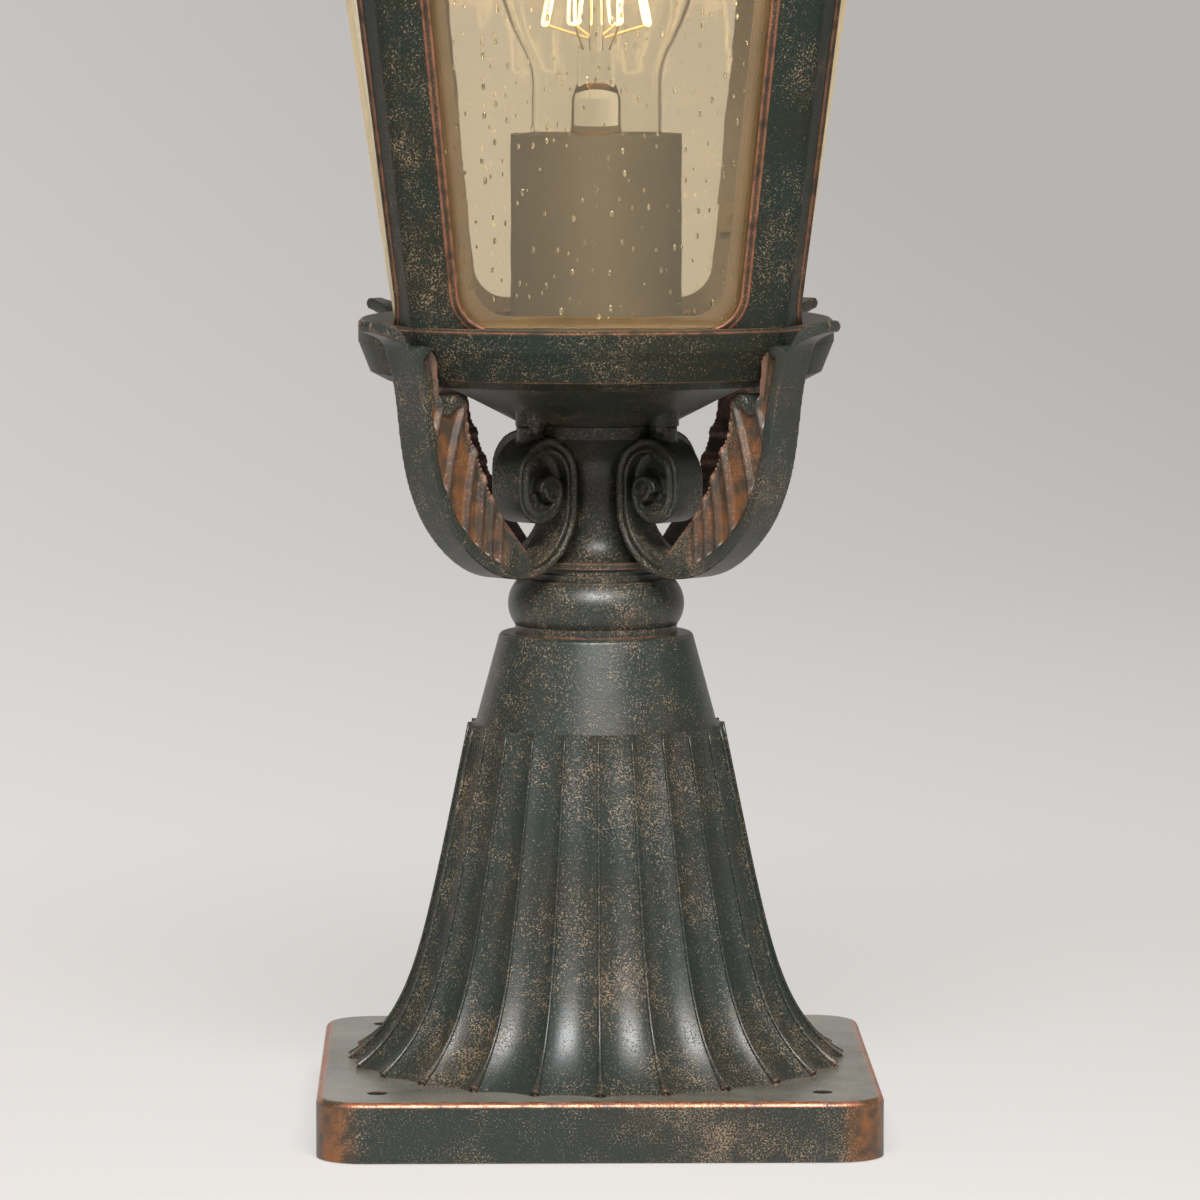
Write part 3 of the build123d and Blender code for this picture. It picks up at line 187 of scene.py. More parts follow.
class LanternSizes(PropertyGroup):
    """Sizes of the detail and places of the studio."""
    edge_rub: length(0.9, "Edge rub", "Width of the copper line along a casting's edges")
    plate_half: length(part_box("pedestal_casting")[1][0] / MM, "Plate half", "Half width of the base plate")
    plate_top: length(15.0, "Plate top", "Height of the plate's upper face")
    flute_top: length(101.0, "Flute top", "Height where the flutes end")
    flute_top_radius: length(32.2, "Flute top radius", "Reach of an arris at the flutes' top")
    flute_lean: length(17.3, "Flute lean", "Even widening of the flutes down to the plate")
    toe_flare: length(13.8, "Toe flare", "Further widening of the flutes at the plate")
    toe_reach: length(10.75, "Toe reach", "Height over which the toe dies away")
    arris_radius: length(0.6, "Arris radius", "Radius of the bead along an arris")
    knob_reach: length(3.0, "Knob reach", "Height over which an arris swells to its knob")
    knob_rub: length(2.5, "Knob rub", "Height over which the copper on a knob dies away")
    leaf_thickness: length(10.0, "Leaf thickness", "Thickness of a bracket")
    leaf_depth: length(1.3, "Leaf depth", "Depth of the hollows between a leaf's veins")
    leaf_vein: length(0.75, "Leaf vein", "Half width of a leaf's veins")
    leaf_band: length(2.6, "Leaf band", "Width of the smooth band along a leaf's back")
    leaf_skin: length(0.4, "Leaf skin", "Distance between points on a carved bracket")
    leaf_ripple: length(0.1, "Leaf ripple", "Height of the waves along a hollow")
    ripple_pace: length(2.3, "Ripple pace", "Height over which those waves advance by one radian")
    leaf_tooth: length(0.8, "Leaf tooth", "Size of the teeth along a leaf's front")
    scroll_depth: length(0.7, "Scroll depth", "Depth of the channel along a scroll's sides")
    cage_foot_half: length(52.9, "Cage foot", "Half width of the cage at its sill")
    cage_lean: ratio(0.1485, "Cage lean", "Widening of the cage for its height")
    cage_bow: length(150.0, "Cage bow", "Radius of the cage's bowed sides")
    sill: length(203.5, "Sill", "Height of the sill")
    window_foot_half: length(33.8, "Window foot", "Half width of a window at the sill")
    window_lean: ratio(0.096, "Window lean", "Widening of a window for its height")
    window_top: length(342.0, "Window top", "Height of a window's top edge")
    window_corner: length(9.0, "Window corner", "Radius of a window's corners")
    bead_width: length(2.4, "Bead width", "Width of the lip round each window")
    bead_height: length(0.8, "Bead height", "How far the lip stands off the post")
    glow_height: length(296.0, "Glow height", "Height of the lamp in the bulb")
    glow_radius: length(12.0, "Glow radius", "Radius of the lamp in the bulb")
    camera_distance: length(1725.0, "Camera distance", "From the axis to the camera")
    camera_height: length(295.5, "Camera height", "Above the floor")
    camera_side: FloatProperty(
        name="Camera side", description="Turn about the axis", subtype="ANGLE", default=math.radians(-1.0),
    )
    aim_height: length(132.0, "Aim height", "Where the view meets the axis")
    aim_side: length(1.0, "Aim side", "How far right of the axis the view goes")
    lens: ratio(205.2, "Lens", "Focal length in millimetres on the sensor's width")
    sensor: ratio(36.0, "Sensor", "Width of the sensor in millimetres")


def add(tree, kind, inputs=None, **settings):
    """Adds a node: an input given as a socket is linked, and any other input or setting is set."""
    made = tree.nodes.new(kind)
    for name, value in settings.items():
        setattr(made, name, value)
    for key, value in (inputs or {}).items():
        if isinstance(value, NodeSocket):
            tree.links.new(value, made.inputs[key])
        else:
            made.inputs[key].default_value = value
    return made


def start(name):
    """A new material, its emptied node tree, and the Object coordinates in it."""
    material = bpy.data.materials.new(name)
    material.use_nodes = True
    tree = material.node_tree
    tree.nodes.clear()
    return material, tree, add(tree, "ShaderNodeTexCoord").outputs["Object"]


def between(datum, span):
    """The limits of a Map Range, for a span in millimetres from a datum in metres."""
    low, high = span
    return {"From Min": datum + low * MM, "From Max": datum + high * MM}


def fleck_layers(tree, place):
    """Clouds in the ground, flecks that gather in clusters, and a slow change of shade over both."""
    clouds = add(
        tree, "ShaderNodeTexNoise", {"Vector": place, "Scale": per_mm(30), "Detail": 3.0}
    ).outputs["Fac"]
    grain = add(
        tree, "ShaderNodeTexNoise",
        {"Vector": place, "Scale": per_mm(0.47), "Detail": 2.0, "Roughness": 0.6},
    ).outputs["Fac"]
    cluster = add(
        tree, "ShaderNodeTexNoise", {"Vector": place, "Scale": per_mm(26), "Detail": 3.0}
    ).outputs["Fac"]
    crowding = 0.45
    crowd = add(
        tree, "ShaderNodeMath", {0: cluster, 1: crowding, 2: grain}, operation="MULTIPLY_ADD"
    ).outputs[0]
    fleck = add(
        tree, "ShaderNodeMapRange", {"Value": crowd, "From Min": 0.766, "From Max": 0.915},
        interpolation_type="SMOOTHSTEP",
    ).outputs["Result"]
    shade = add(
        tree, "ShaderNodeTexNoise", {"Vector": place, "Scale": per_mm(4), "Detail": 1.0}
    ).outputs["Fac"]
    return clouds, fleck, shade


def plate_wear_and_sheen(tree, parts, normal, sizes):
    """Shares: stain at the plate's corners, dust and painted sheen on its top, copper on its upper edge."""
    across, along = [
        add(tree, "ShaderNodeMath", {0: parts[axis]}, operation="ABSOLUTE").outputs[0] for axis in "XY"
    ]
    nearer = add(tree, "ShaderNodeMath", {0: across, 1: along}, operation="MINIMUM").outputs[0]
    further = add(tree, "ShaderNodeMath", {0: across, 1: along}, operation="MAXIMUM").outputs[0]
    low = add(
        tree, "ShaderNodeMapRange", {"Value": parts["Z"], **between(sizes.plate_top, STAIN_HEIGHTS)}
    ).outputs["Result"]
    both_sides = add(
        tree, "ShaderNodeMapRange", {"Value": nearer, **between(sizes.plate_half, STAIN_REACHES)},
        interpolation_type="SMOOTHSTEP",
    ).outputs["Result"]
    corner = add(tree, "ShaderNodeMath", {0: low, 1: both_sides}, operation="MULTIPLY").outputs[0]

    # The plate's top: dust there, and a painted sheen that stands in for the backdrop it reflects
    on_plate = add(
        tree, "ShaderNodeMath", {0: parts["Z"], 1: sizes.plate_top + TOP_ALLOWANCE * MM},
        operation="LESS_THAN",
    ).outputs[0]
    facing_up = add(tree, "ShaderNodeSeparateXYZ", {0: normal}).outputs["Z"]
    flat = add(
        tree, "ShaderNodeMapRange", {"Value": facing_up, "From Min": 0.9, "From Max": 0.99}
    ).outputs["Result"]
    top = add(tree, "ShaderNodeMath", {0: flat, 1: on_plate}, operation="MULTIPLY").outputs[0]

    rim_height = add(
        tree, "ShaderNodeMapRange", {"Value": parts["Z"], **between(sizes.plate_top, RIM_HEIGHTS)}
    ).outputs["Result"]
    rim_reach = add(
        tree, "ShaderNodeMapRange", {"Value": further, **between(sizes.plate_half, RIM_REACHES)}
    ).outputs["Result"]
    rim = add(tree, "ShaderNodeMath", {0: rim_height, 1: rim_reach}, operation="MULTIPLY").outputs[0]
    edge = add(tree, "ShaderNodeMath", {0: rim, 1: on_plate}, operation="MULTIPLY").outputs[0]
    return corner, top, edge


def rubbed_edges(tree, height, normal, sizes):
    """The share of copper along outer edges, where a rounded normal turns away, by height."""
    rounded = add(tree, "ShaderNodeBevel", {"Radius": sizes.edge_rub}, samples=6).outputs["Normal"]
    agreement = add(
        tree, "ShaderNodeVectorMath", {0: rounded, 1: normal}, operation="DOT_PRODUCT"
    ).outputs["Value"]
    edge = add(
        tree, "ShaderNodeMapRange", {"Value": agreement, "From Min": 0.985, "From Max": 0.93},
        interpolation_type="SMOOTHSTEP",
    ).outputs["Result"]
    openness = add(
        tree, "ShaderNodeAmbientOcclusion", {"Distance": 4 * MM}, samples=5, only_local=True
    ).outputs["AO"]
    open_air = add(
        tree, "ShaderNodeMapRange", {"Value": openness, "From Min": 0.82, "From Max": 0.97}
    ).outputs["Result"]
    outer_edge = add(tree, "ShaderNodeMath", {0: edge, 1: open_air}, operation="MULTIPLY").outputs[0]
    climb = add(
        tree, "ShaderNodeMath", {0: height, 1: RAMP_HEIGHT * MM}, operation="DIVIDE"
    ).outputs[0]
    rubbed_at = add(tree, "ShaderNodeValToRGB", {"Fac": climb})
    stops = rubbed_at.color_ramp.elements
    for stop, (level, share) in enumerate(RUBBED_HEIGHTS):
        if stop >= len(stops):
            stops.new(1.0)
        stops[stop].position = level / RAMP_HEIGHT
        stops[stop].color = (share, share, share, 1)
    return add(
        tree, "ShaderNodeMath", {0: outer_edge, 1: rubbed_at.outputs["Color"]}, operation="MULTIPLY"
    ).outputs[0]


def weathered_bronze(name, gloss, colours, sizes):
    # Cast aluminium under a dark patina, rubbed back by hand: a satin or matt green-black ground,
    # clusters of tan flecks half a millimetre across, copper along edges, glaze left in grooves
    material, tree, place = start(name)
    parts = add(tree, "ShaderNodeSeparateXYZ", {0: place}).outputs
    normal = add(tree, "ShaderNodeNewGeometry").outputs["Normal"]
    clouds, fleck, shade = fleck_layers(tree, place)
    plate_corner, plate_level, plate_edge = plate_wear_and_sheen(tree, parts, normal, sizes)

    warmth = add(
        tree, "ShaderNodeMapRange", {"Value": clouds, "From Min": 0.42, "From Max": 0.68},
        interpolation_type="SMOOTHSTEP",
    ).outputs["Result"]
    ground = add(
        tree, "ShaderNodeMix", {0: warmth, 6: colours.patina, 7: colours.patina_warm}, data_type="RGBA"
    ).outputs[2]
    paleness = add(
        tree, "ShaderNodeMapRange", {"Value": shade, "From Min": 0.35, "From Max": 0.65}
    ).outputs["Result"]
    fleck_colour = add(
        tree, "ShaderNodeMix", {0: paleness, 6: colours.fleck_dark, 7: colours.fleck_light},
        data_type="RGBA",
    ).outputs[2]
    fleck_strength = 0.68
    rubbed_flecks = add(
        tree, "ShaderNodeMath", {0: fleck, 1: fleck_strength}, operation="MULTIPLY"
    ).outputs[0]
    flecked = add(
        tree, "ShaderNodeMix", {0: rubbed_flecks, 6: ground, 7: fleck_colour}, data_type="RGBA"
    ).outputs[2]

    painted_stain = add(tree, "ShaderNodeAttribute", attribute_name="stain").outputs["Fac"]
    stained = add(
        tree, "ShaderNodeMath", {0: plate_corner, 1: painted_stain}, operation="MAXIMUM"
    ).outputs[0]
    patchy = add(
        tree, "ShaderNodeMapRange", {"Value": shade, "From Min": 0.35, "From Max": 0.65, "To Min": 0.25}
    ).outputs["Result"]
    glaze = add(tree, "ShaderNodeMath", {0: stained, 1: patchy}, operation="MULTIPLY").outputs[0]
    glazed = add(
        tree, "ShaderNodeMix", {0: glaze, 6: flecked, 7: colours.stain}, data_type="RGBA"
    ).outputs[2]
    # Dust on the plate's top, lightened as a painted sheen of the pale backdrop it reflects when seen low
    dust_and_sheen_patches = add(
        tree, "ShaderNodeMapRange",
        {"Value": clouds, "From Min": 0.38, "From Max": 0.62, "To Min": 1.0, "To Max": 0.4},
    ).outputs["Result"]
    dust = add(tree, "ShaderNodeMath", {0: plate_level, 1: dust_and_sheen_patches}, operation="MULTIPLY").outputs[0]
    dusted_and_sheened = add(
        tree, "ShaderNodeMix", {0: dust, 6: glazed, 7: colours.dust_and_sheen}, data_type="RGBA"
    ).outputs[2]

    painted_rub = add(tree, "ShaderNodeAttribute", attribute_name="rub").outputs["Fac"]
    placed_rub = add(
        tree, "ShaderNodeMath", {0: painted_rub, 1: plate_edge}, operation="MAXIMUM"
    ).outputs[0]
    edge_rub = rubbed_edges(tree, parts["Z"], normal, sizes)
    bared = add(tree, "ShaderNodeMath", {0: edge_rub, 1: placed_rub}, operation="MAXIMUM").outputs[0]
    uneven = add(
        tree, "ShaderNodeMapRange", {"Value": shade, "From Min": 0.3, "From Max": 0.55, "To Min": 0.25}
    ).outputs["Result"]
    rub = add(tree, "ShaderNodeMath", {0: bared, 1: uneven}, operation="MULTIPLY").outputs[0]
    colour = add(
        tree, "ShaderNodeMix", {0: rub, 6: dusted_and_sheened, 7: colours.copper}, data_type="RGBA"
    ).outputs[2]
    bareness = 0.85
    metal = add(tree, "ShaderNodeMath", {0: rub, 1: bareness}, operation="MULTIPLY").outputs[0]

    satin = add(
        tree, "ShaderNodeMapRange", {"Value": fleck, "To Min": 0.36, "To Max": 0.5}
    ).outputs["Result"]
    plate_polish = -0.14
    roughness = add(
        tree, "ShaderNodeMath", {0: plate_level, 1: plate_polish, 2: satin}, operation="MULTIPLY_ADD"
    ).outputs[0]
    cast = add(
        tree, "ShaderNodeTexNoise", {"Vector": place, "Scale": per_mm(0.9), "Detail": 2.0}
    ).outputs["Fac"]
    grit = add(
        tree, "ShaderNodeBump", {"Strength": 0.35, "Distance": 0.06 * MM, "Height": cast}
    ).outputs["Normal"]
    worn = add(
        tree, "ShaderNodeBump", {"Strength": 0.5, "Distance": 0.08 * MM, "Height": fleck, "Normal": grit}
    ).outputs["Normal"]
    surface = add(
        tree, "ShaderNodeBsdfPrincipled",
        {"Base Color": colour, "Roughness": roughness, "Specular IOR Level": gloss, "Metallic": metal,
         "Normal": worn},
    )
    add(tree, "ShaderNodeOutputMaterial", {"Surface": surface.outputs[0]})
    return material


def see_through(tree, glass, tint):
    """Lets lamp light through glass, as a Mix Shader that puts Transparent in for shadow rays."""
    lamp_ray = add(tree, "ShaderNodeLightPath").outputs["Is Shadow Ray"]
    clear = add(tree, "ShaderNodeBsdfTransparent", {"Color": tint}).outputs[0]
    mixed = add(tree, "ShaderNodeMixShader", {0: lamp_ray, 1: glass, 2: clear})
    add(tree, "ShaderNodeOutputMaterial", {"Surface": mixed.outputs[0]})


def seed_bumps(tree, sheet):
    """The normal of a drawn sheet: bubbles stretched upwards in some cells, over faint upright reams."""
    seed_squeeze, ream_squeeze, empty_cells = 0.42, 0.12, 0.2
    drawn = add(tree, "ShaderNodeMapping", {"Vector": sheet, "Scale": (1.0, seed_squeeze, 1.0)}).outputs[0]
    cells = add(
        tree, "ShaderNodeTexVoronoi", {"Vector": drawn, "Scale": per_mm(3.1)}, voronoi_dimensions="2D"
    )
    lot = add(tree, "ShaderNodeSeparateColor", {0: cells.outputs["Color"]}).outputs[0]
    reach = add(
        tree, "ShaderNodeMapRange",
        {"Value": lot, "From Min": empty_cells, "From Max": 1.0, "To Min": 0.05, "To Max": 0.14},
        clamp=False,
    ).outputs["Result"]
    inside = add(
        tree, "ShaderNodeMath", {0: cells.outputs["Distance"], 1: reach}, operation="DIVIDE"
    ).outputs[0]
    bubble = add(
        tree, "ShaderNodeMapRange", {"Value": inside, "From Min": 1.0, "From Max": 0.2},
        interpolation_type="SMOOTHSTEP",
    ).outputs["Result"]
    here = add(tree, "ShaderNodeMath", {0: lot, 1: empty_cells}, operation="GREATER_THAN").outputs[0]
    seed = add(tree, "ShaderNodeMath", {0: bubble, 1: here}, operation="MULTIPLY").outputs[0]
    upright = add(tree, "ShaderNodeMapping", {"Vector": sheet, "Scale": (1.0, ream_squeeze, 1.0)}).outputs[0]
    reams = add(
        tree, "ShaderNodeTexNoise", {"Vector": upright, "Scale": per_mm(9), "Detail": 1.0},
        noise_dimensions="2D",
    ).outputs["Fac"]
    wavy = add(
        tree, "ShaderNodeBump", {"Strength": 0.25, "Distance": 0.25 * MM, "Height": reams}
    ).outputs["Normal"]
    return add(
        tree, "ShaderNodeBump", {"Strength": 1.0, "Distance": 0.35 * MM, "Height": seed, "Normal": wavy}
    ).outputs["Normal"]


def seeded_glass(colours, across):
    # Amber drawn glass with seeds: clear face on, milky and golden where it is seen along the sheet
    material, tree, place = start(f"amber_seeded_glass_{across.lower()}")
    parts = add(tree, "ShaderNodeSeparateXYZ", {0: place}).outputs
    sheet = add(tree, "ShaderNodeCombineXYZ", {0: parts[across], 1: parts["Z"]}).outputs[0]
    glass = add(
        tree, "ShaderNodeBsdfPrincipled",
        {"Base Color": colours.amber, "Roughness": 0.03, "IOR": 1.5, "Transmission Weight": 1.0,
         "Normal": seed_bumps(tree, sheet)},
    ).outputs[0]
    along_sheet = add(tree, "ShaderNodeLayerWeight", {"Blend": 0.5}).outputs["Facing"]
    milky = add(
        tree, "ShaderNodeMapRange",
        {"Value": along_sheet, "From Min": 0.72, "From Max": 0.97, "To Min": 0.03, "To Max": 0.8},
        interpolation_type="SMOOTHSTEP",
    ).outputs["Result"]
    body = add(tree, "ShaderNodeBsdfTranslucent", {"Color": colours.amber_body}).outputs[0]
    skin = add(tree, "ShaderNodeBsdfDiffuse", {"Color": colours.amber_body}).outputs[0]
    inner = add(tree, "ShaderNodeMixShader", {1: body, 2: skin}).outputs[0]
    sheet_glass = add(tree, "ShaderNodeMixShader", {0: milky, 1: glass, 2: inner}).outputs[0]
    see_through(tree, sheet_glass, colours.amber)
    return material


def bulb_glass(name, bending, colours):
    # Soda glass, blown thin or pressed solid: clear, mirror-smooth, with a faint unevenness
    material, tree, place = start(name)
    blown = add(
        tree, "ShaderNodeTexNoise", {"Vector": place, "Scale": per_mm(12), "Detail": 1.0}
    ).outputs["Fac"]
    uneven = add(
        tree, "ShaderNodeBump", {"Strength": 0.08, "Distance": 0.1 * MM, "Height": blown}
    ).outputs["Normal"]
    glass = add(
        tree, "ShaderNodeBsdfPrincipled",
        {"Base Color": colours.clear, "Roughness": 0.0, "IOR": bending, "Transmission Weight": 1.0,
         "Normal": uneven},
    )
    see_through(tree, glass.outputs[0], colours.clear)
    return material


def even_coat(name, colour, roughness, grain_mm, mottle):
    # Sprayed paint, glaze, moulded plastic or oxide: an even colour, a slight orange-peel, faint mottling
    material, tree, place = start(name)
    patch_mm = MOTTLE_WIDTH * grain_mm
    dust = add(
        tree, "ShaderNodeTexNoise", {"Vector": place, "Scale": per_mm(patch_mm), "Detail": 4.0}
    ).outputs["Fac"]
    thin = add(
        tree, "ShaderNodeMapRange", {"Value": dust, "From Min": 0.3, "From Max": 0.7}
    ).outputs["Result"]
    deep = [c * (1 - mottle) for c in colour[:3]] + [1.0]
    mottled = add(tree, "ShaderNodeMix", {0: thin, 6: deep, 7: colour}, data_type="RGBA").outputs[2]
    peel = add(
        tree, "ShaderNodeTexNoise", {"Vector": place, "Scale": per_mm(grain_mm), "Detail": 1.0}
    ).outputs["Fac"]
    skin = add(
        tree, "ShaderNodeBump", {"Strength": 0.2, "Distance": 0.05 * MM, "Height": peel}
    ).outputs["Normal"]
    surface = add(
        tree, "ShaderNodeBsdfPrincipled", {"Base Color": mottled, "Roughness": roughness, "Normal": skin}
    )
    add(tree, "ShaderNodeOutputMaterial", {"Surface": surface.outputs[0]})
    return material


def bare_metal(name, colour, roughness, line_mm):
    # Plated or plain metal, turned or drawn: fine parallel lines that stretch its highlights, made
    # coarser here than they are so that they show
    along_lines = 0.08
    smoother, duller = 0.1, 0.15
    material, tree, place = start(name)
    drawn = add(
        tree, "ShaderNodeMapping", {"Vector": place, "Scale": (along_lines, along_lines, 1.0)}
    ).outputs[0]
    lines = add(
        tree, "ShaderNodeTexNoise", {"Vector": drawn, "Scale": per_mm(line_mm), "Detail": 3.0}
    ).outputs["Fac"]
    dull = add(
        tree, "ShaderNodeMapRange",
        {"Value": lines, "To Min": roughness - smoother, "To Max": roughness + duller},
    ).outputs["Result"]
    scored = add(
        tree, "ShaderNodeBump", {"Strength": 0.2, "Distance": 0.03 * MM, "Height": lines}
    ).outputs["Normal"]
    surface = add(
        tree, "ShaderNodeBsdfPrincipled",
        {"Base Color": colour, "Metallic": 1.0, "Roughness": dull, "Normal": scored},
    )
    add(tree, "ShaderNodeOutputMaterial", {"Surface": surface.outputs[0]})
    return material


def lit_filament(colours):
    # Carbon wire at working heat: it shines by its own light, brighter in some stretches than in others
    material, tree, place = start("glowing_carbon_filament")
    heat = add(
        tree, "ShaderNodeTexNoise", {"Vector": place, "Scale": per_mm(6), "Detail": 0.0}
    ).outputs["Fac"]
    power = add(
        tree, "ShaderNodeMapRange",
        {"Value": heat, "From Min": 0.3, "From Max": 0.7, "To Min": 1.8, "To Max": 3.4},
    ).outputs["Result"]
    surface = add(
        tree, "ShaderNodeBsdfPrincipled",
        {"Base Color": colours.glow, "Roughness": 0.6, "Emission Color": colours.glow,
         "Emission Strength": power},
    )
    add(tree, "ShaderNodeOutputMaterial", {"Surface": surface.outputs[0]})
    return material


def dress(material, *names):
    """Gives CAD nodes a material in their own slots."""
    for name in names:
        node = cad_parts[name]
        node.data.materials.clear()
        node.data.materials.append(material)


def alone(piece=None):
    """Selects one piece and makes it active, or with none clears the selection for a new piece."""
    bpy.ops.object.select_all(action="DESELECT")
    if piece is not None:
        piece.select_set(True)
        bpy.context.view_layer.objects.active = piece


def close_up(piece):
    """Joins a piece's seams, fills its open ends and turns its faces outward."""
    alone(piece)
    bpy.ops.object.mode_set(mode="EDIT")
    bpy.ops.mesh.select_all(action="SELECT")
    bpy.ops.mesh.remove_doubles(threshold=SEAM)
    bpy.ops.mesh.fill_holes(sides=0)
    bpy.ops.mesh.normals_make_consistent(inside=False)
    bpy.ops.object.mode_set(mode="OBJECT")
    bpy.ops.object.shade_smooth()


def mark(piece, label, values):
    """Keeps a value for each point of a piece, for its finish to read."""
    kept = piece.data.attributes.new(label, "FLOAT", "POINT")
    kept.data.foreach_set("value", values)


def turned_copy(piece, angle):
    """A copy of a piece with its own mesh, turned about the lantern's axis."""
    twin = piece.copy()
    twin.data = piece.data.copy()
    bpy.context.scene.collection.objects.link(twin)
    twin.rotation_mode = "XYZ"
    twin.rotation_euler = (0, 0, angle)
    alone(twin)
    bpy.ops.object.transform_apply()
    return twin


def directions(angle):
    """The level directions outward from the axis and sideways, for an angle from +X."""
    outward = Vector((math.cos(angle), math.sin(angle), 0))
    return outward, Vector((-outward.y, outward.x, 0))


def settle(piece, body, material):
    """Puts a finished piece on its body, with its material."""
    piece.data.materials.clear()
    piece.data.materials.append(material)
    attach(piece, body)


class LANTERN_OT_castings(Operator):
    """Gives the cast pieces their rubbed bronze finish"""
    bl_idname = "lantern.castings"
    bl_label = "Castings"

    def execute(self, context):
        colours = context.scene.lantern_colours
        sizes = context.scene.lantern_sizes
        satin = weathered_bronze(SATIN_BRONZE, SATIN_GLOSS, colours, sizes)
        dress(satin, "pedestal_casting", "neck_baluster", "lantern_dish")
        matt = weathered_bronze(MATT_BRONZE, MATT_GLOSS, colours, sizes)
        dress(matt, "cage_frame", "roof_casting", "finial", "thumbscrew_left", "thumbscrew_right")
        return {"FINISHED"}


class LANTERN_OT_brackets(Operator):
    """Carves the four leaf brackets and rubs their veins"""
    bl_idname = "lantern.brackets"
    bl_label = "Leaf brackets"

    def execute(self, context):
        sizes = context.scene.lantern_sizes
        first = next(iter(CORNERS))
        carved = bracket_skin(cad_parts[f"leaf_bracket_{first}"], sizes)
        carve(carved, math.radians(CORNERS[first]), sizes)
        for name, angle in CORNERS.items():
            piece = carved
            if name != first:
                piece = turned_copy(carved, math.radians(angle - CORNERS[first]))
            piece.name = f"carved_bracket_{name}"
            settle(piece, "stand", bpy.data.materials[SATIN_BRONZE])
            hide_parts(f"leaf_bracket_{name}")
        return {"FINISHED"}


def smooth_step(low, high, value):
    """0 at low and 1 at high, eased between them; low may be the higher of the two."""
    share = min(max((value - low) / (high - low), 0), 1)
    return share * share * (3 - 2 * share)


def ramp(span, value):
    """The same for a span in millimetres and a value in metres."""
    low, high = span
    return smooth_step(low * MM, high * MM, value)


def leaf_foot(r, z):
    """Follows the fan of veins from a point down to the leaf's foot, in millimetres from the axis."""
    fan_foot, fan_top, spread, lobe_lean = 147, 184, 0.0105, -0.16
    rise = max(min(z, fan_top) - fan_foot, 0)
    return r + spread * rise * rise / 2 + lobe_lean * max(z - fan_top, 0)


def bracket_skin(node, sizes):
    """A copy of a bracket's solid with an even skin and softened edges."""
    piece = node.copy()
    piece.data = node.data.copy()
    piece.parent = None
    bpy.context.scene.collection.objects.link(piece)
    alone(piece)
    bpy.ops.object.mode_set(mode="EDIT")
    bpy.ops.mesh.select_all(action="SELECT")
    bpy.ops.mesh.remove_doubles(threshold=SEAM)
    bpy.ops.object.mode_set(mode="OBJECT")
    bpy.ops.mesh.customdata_custom_splitnormals_clear()
    skin = piece.modifiers.new("even_skin", "REMESH")
    skin.mode = "VOXEL"
    skin.voxel_size = sizes.leaf_skin
    bpy.ops.object.modifier_apply(modifier=skin.name)
    ease = piece.modifiers.new("cast_softness", "SMOOTH")
    ease.factor = 0.5
    ease.iterations = 3
    bpy.ops.object.modifier_apply(modifier=ease.name)
    bpy.ops.object.shade_smooth()
    return piece


def outline_and_spine(points, flat, aside, outward, sideways, half):
    """Trees of the points along a bracket's outline, and of those along the back of its leaf."""
    edge_on, near_side, faces_out, faces_down = 0.45, 0.6 * half, 0.2, -0.5
    rim = [
        i for i, p in enumerate(points)
        if abs(p.normal.dot(sideways)) < edge_on and abs(aside[i]) > near_side
    ]
    back = [
        i for i in rim
        if points[i].normal.dot(outward) > faces_out or points[i].normal.z < faces_down
    ]
    trees = []
    for members in (rim, back):
        tree = KDTree(len(members))
        for i in members:
            tree.insert((*flat[i], 0), i)
        tree.balance()
        trees.append(tree)
    return trees


def carve(piece, angle, sizes):
    """Hollows a bracket between its veins on both side faces, notches its front and marks its wear."""
    outward, sideways = directions(angle)
    points = piece.data.vertices
    flat = [(p.co.dot(outward), p.co.z) for p in points]
    aside = [p.co.dot(sideways) for p in points]
    half = sizes.leaf_thickness / 2
    outline, spine = outline_and_spine(points, flat, aside, outward, sideways, half)
    rub, stain, moves, teeth = [], [], [], []
    for i, point in enumerate(points):
        r, z = flat[i]
        to_edge = outline.find((r, z, 0))[2]
        to_back = spine.find((r, z, 0))[2]
        face = smooth_step(*SIDE_FACE, abs(point.normal.dot(sideways)))
        past_band = smooth_step(sizes.leaf_band, sizes.leaf_band + BAND_EDGE * MM, to_back)
        leaf = ramp(LEAF, r + LEAF_LEAN * (z - LEAF_LEVEL * MM)) * past_band
        from_vein = min(abs(leaf_foot(r / MM, z / MM) - vein) for vein in VEINS) * MM
        hollow = smooth_step(*(share * sizes.leaf_vein for share in VEIN_SLOPE), from_vein)
        plain_tip = ramp(PLAIN_TIP, r)
        depth = sizes.leaf_depth * hollow * leaf * face * plain_tip
        ripple = sizes.leaf_ripple * math.sin(z / sizes.ripple_pace) * hollow * leaf * face
        scroll = (1 - leaf) * ramp(SCROLL, r) * face
        channel = sizes.scroll_depth * scroll * ramp(SCROLL_DISH, to_edge)
        drawn_in = TIP_LOSS * aside[i] * ramp(TIP_TAPER, r)
        moves.append(-math.copysign(1, aside[i]) * (depth + ripple + channel) - drawn_in)
        front = ramp(LEAF_FRONT, to_back)
        tooth = ramp(TOOTH, to_edge) * front * ramp(TEETH, r) * plain_tip
        teeth.append(sizes.leaf_tooth * tooth * (TOOTH_TURN - hollow))
        lip = ramp(LIP, to_edge) * front * ramp(UNRUBBED_TIP, r)
        rub.append(LIP_RUB * lip + VEIN_RUB * leaf * face * (1 - hollow))
        stain.append(LEAF_STAIN * leaf * face * hollow * ramp(STAIN_INSIDE, to_edge))
    in_plane = [p.normal - sideways * p.normal.dot(sideways) for p in points]
    for i, point in enumerate(points):
        point.co += sideways * moves[i] + in_plane[i] * teeth[i]
    mark(piece, "rub", rub)
    mark(piece, "stain", stain)
    piece.data.update()


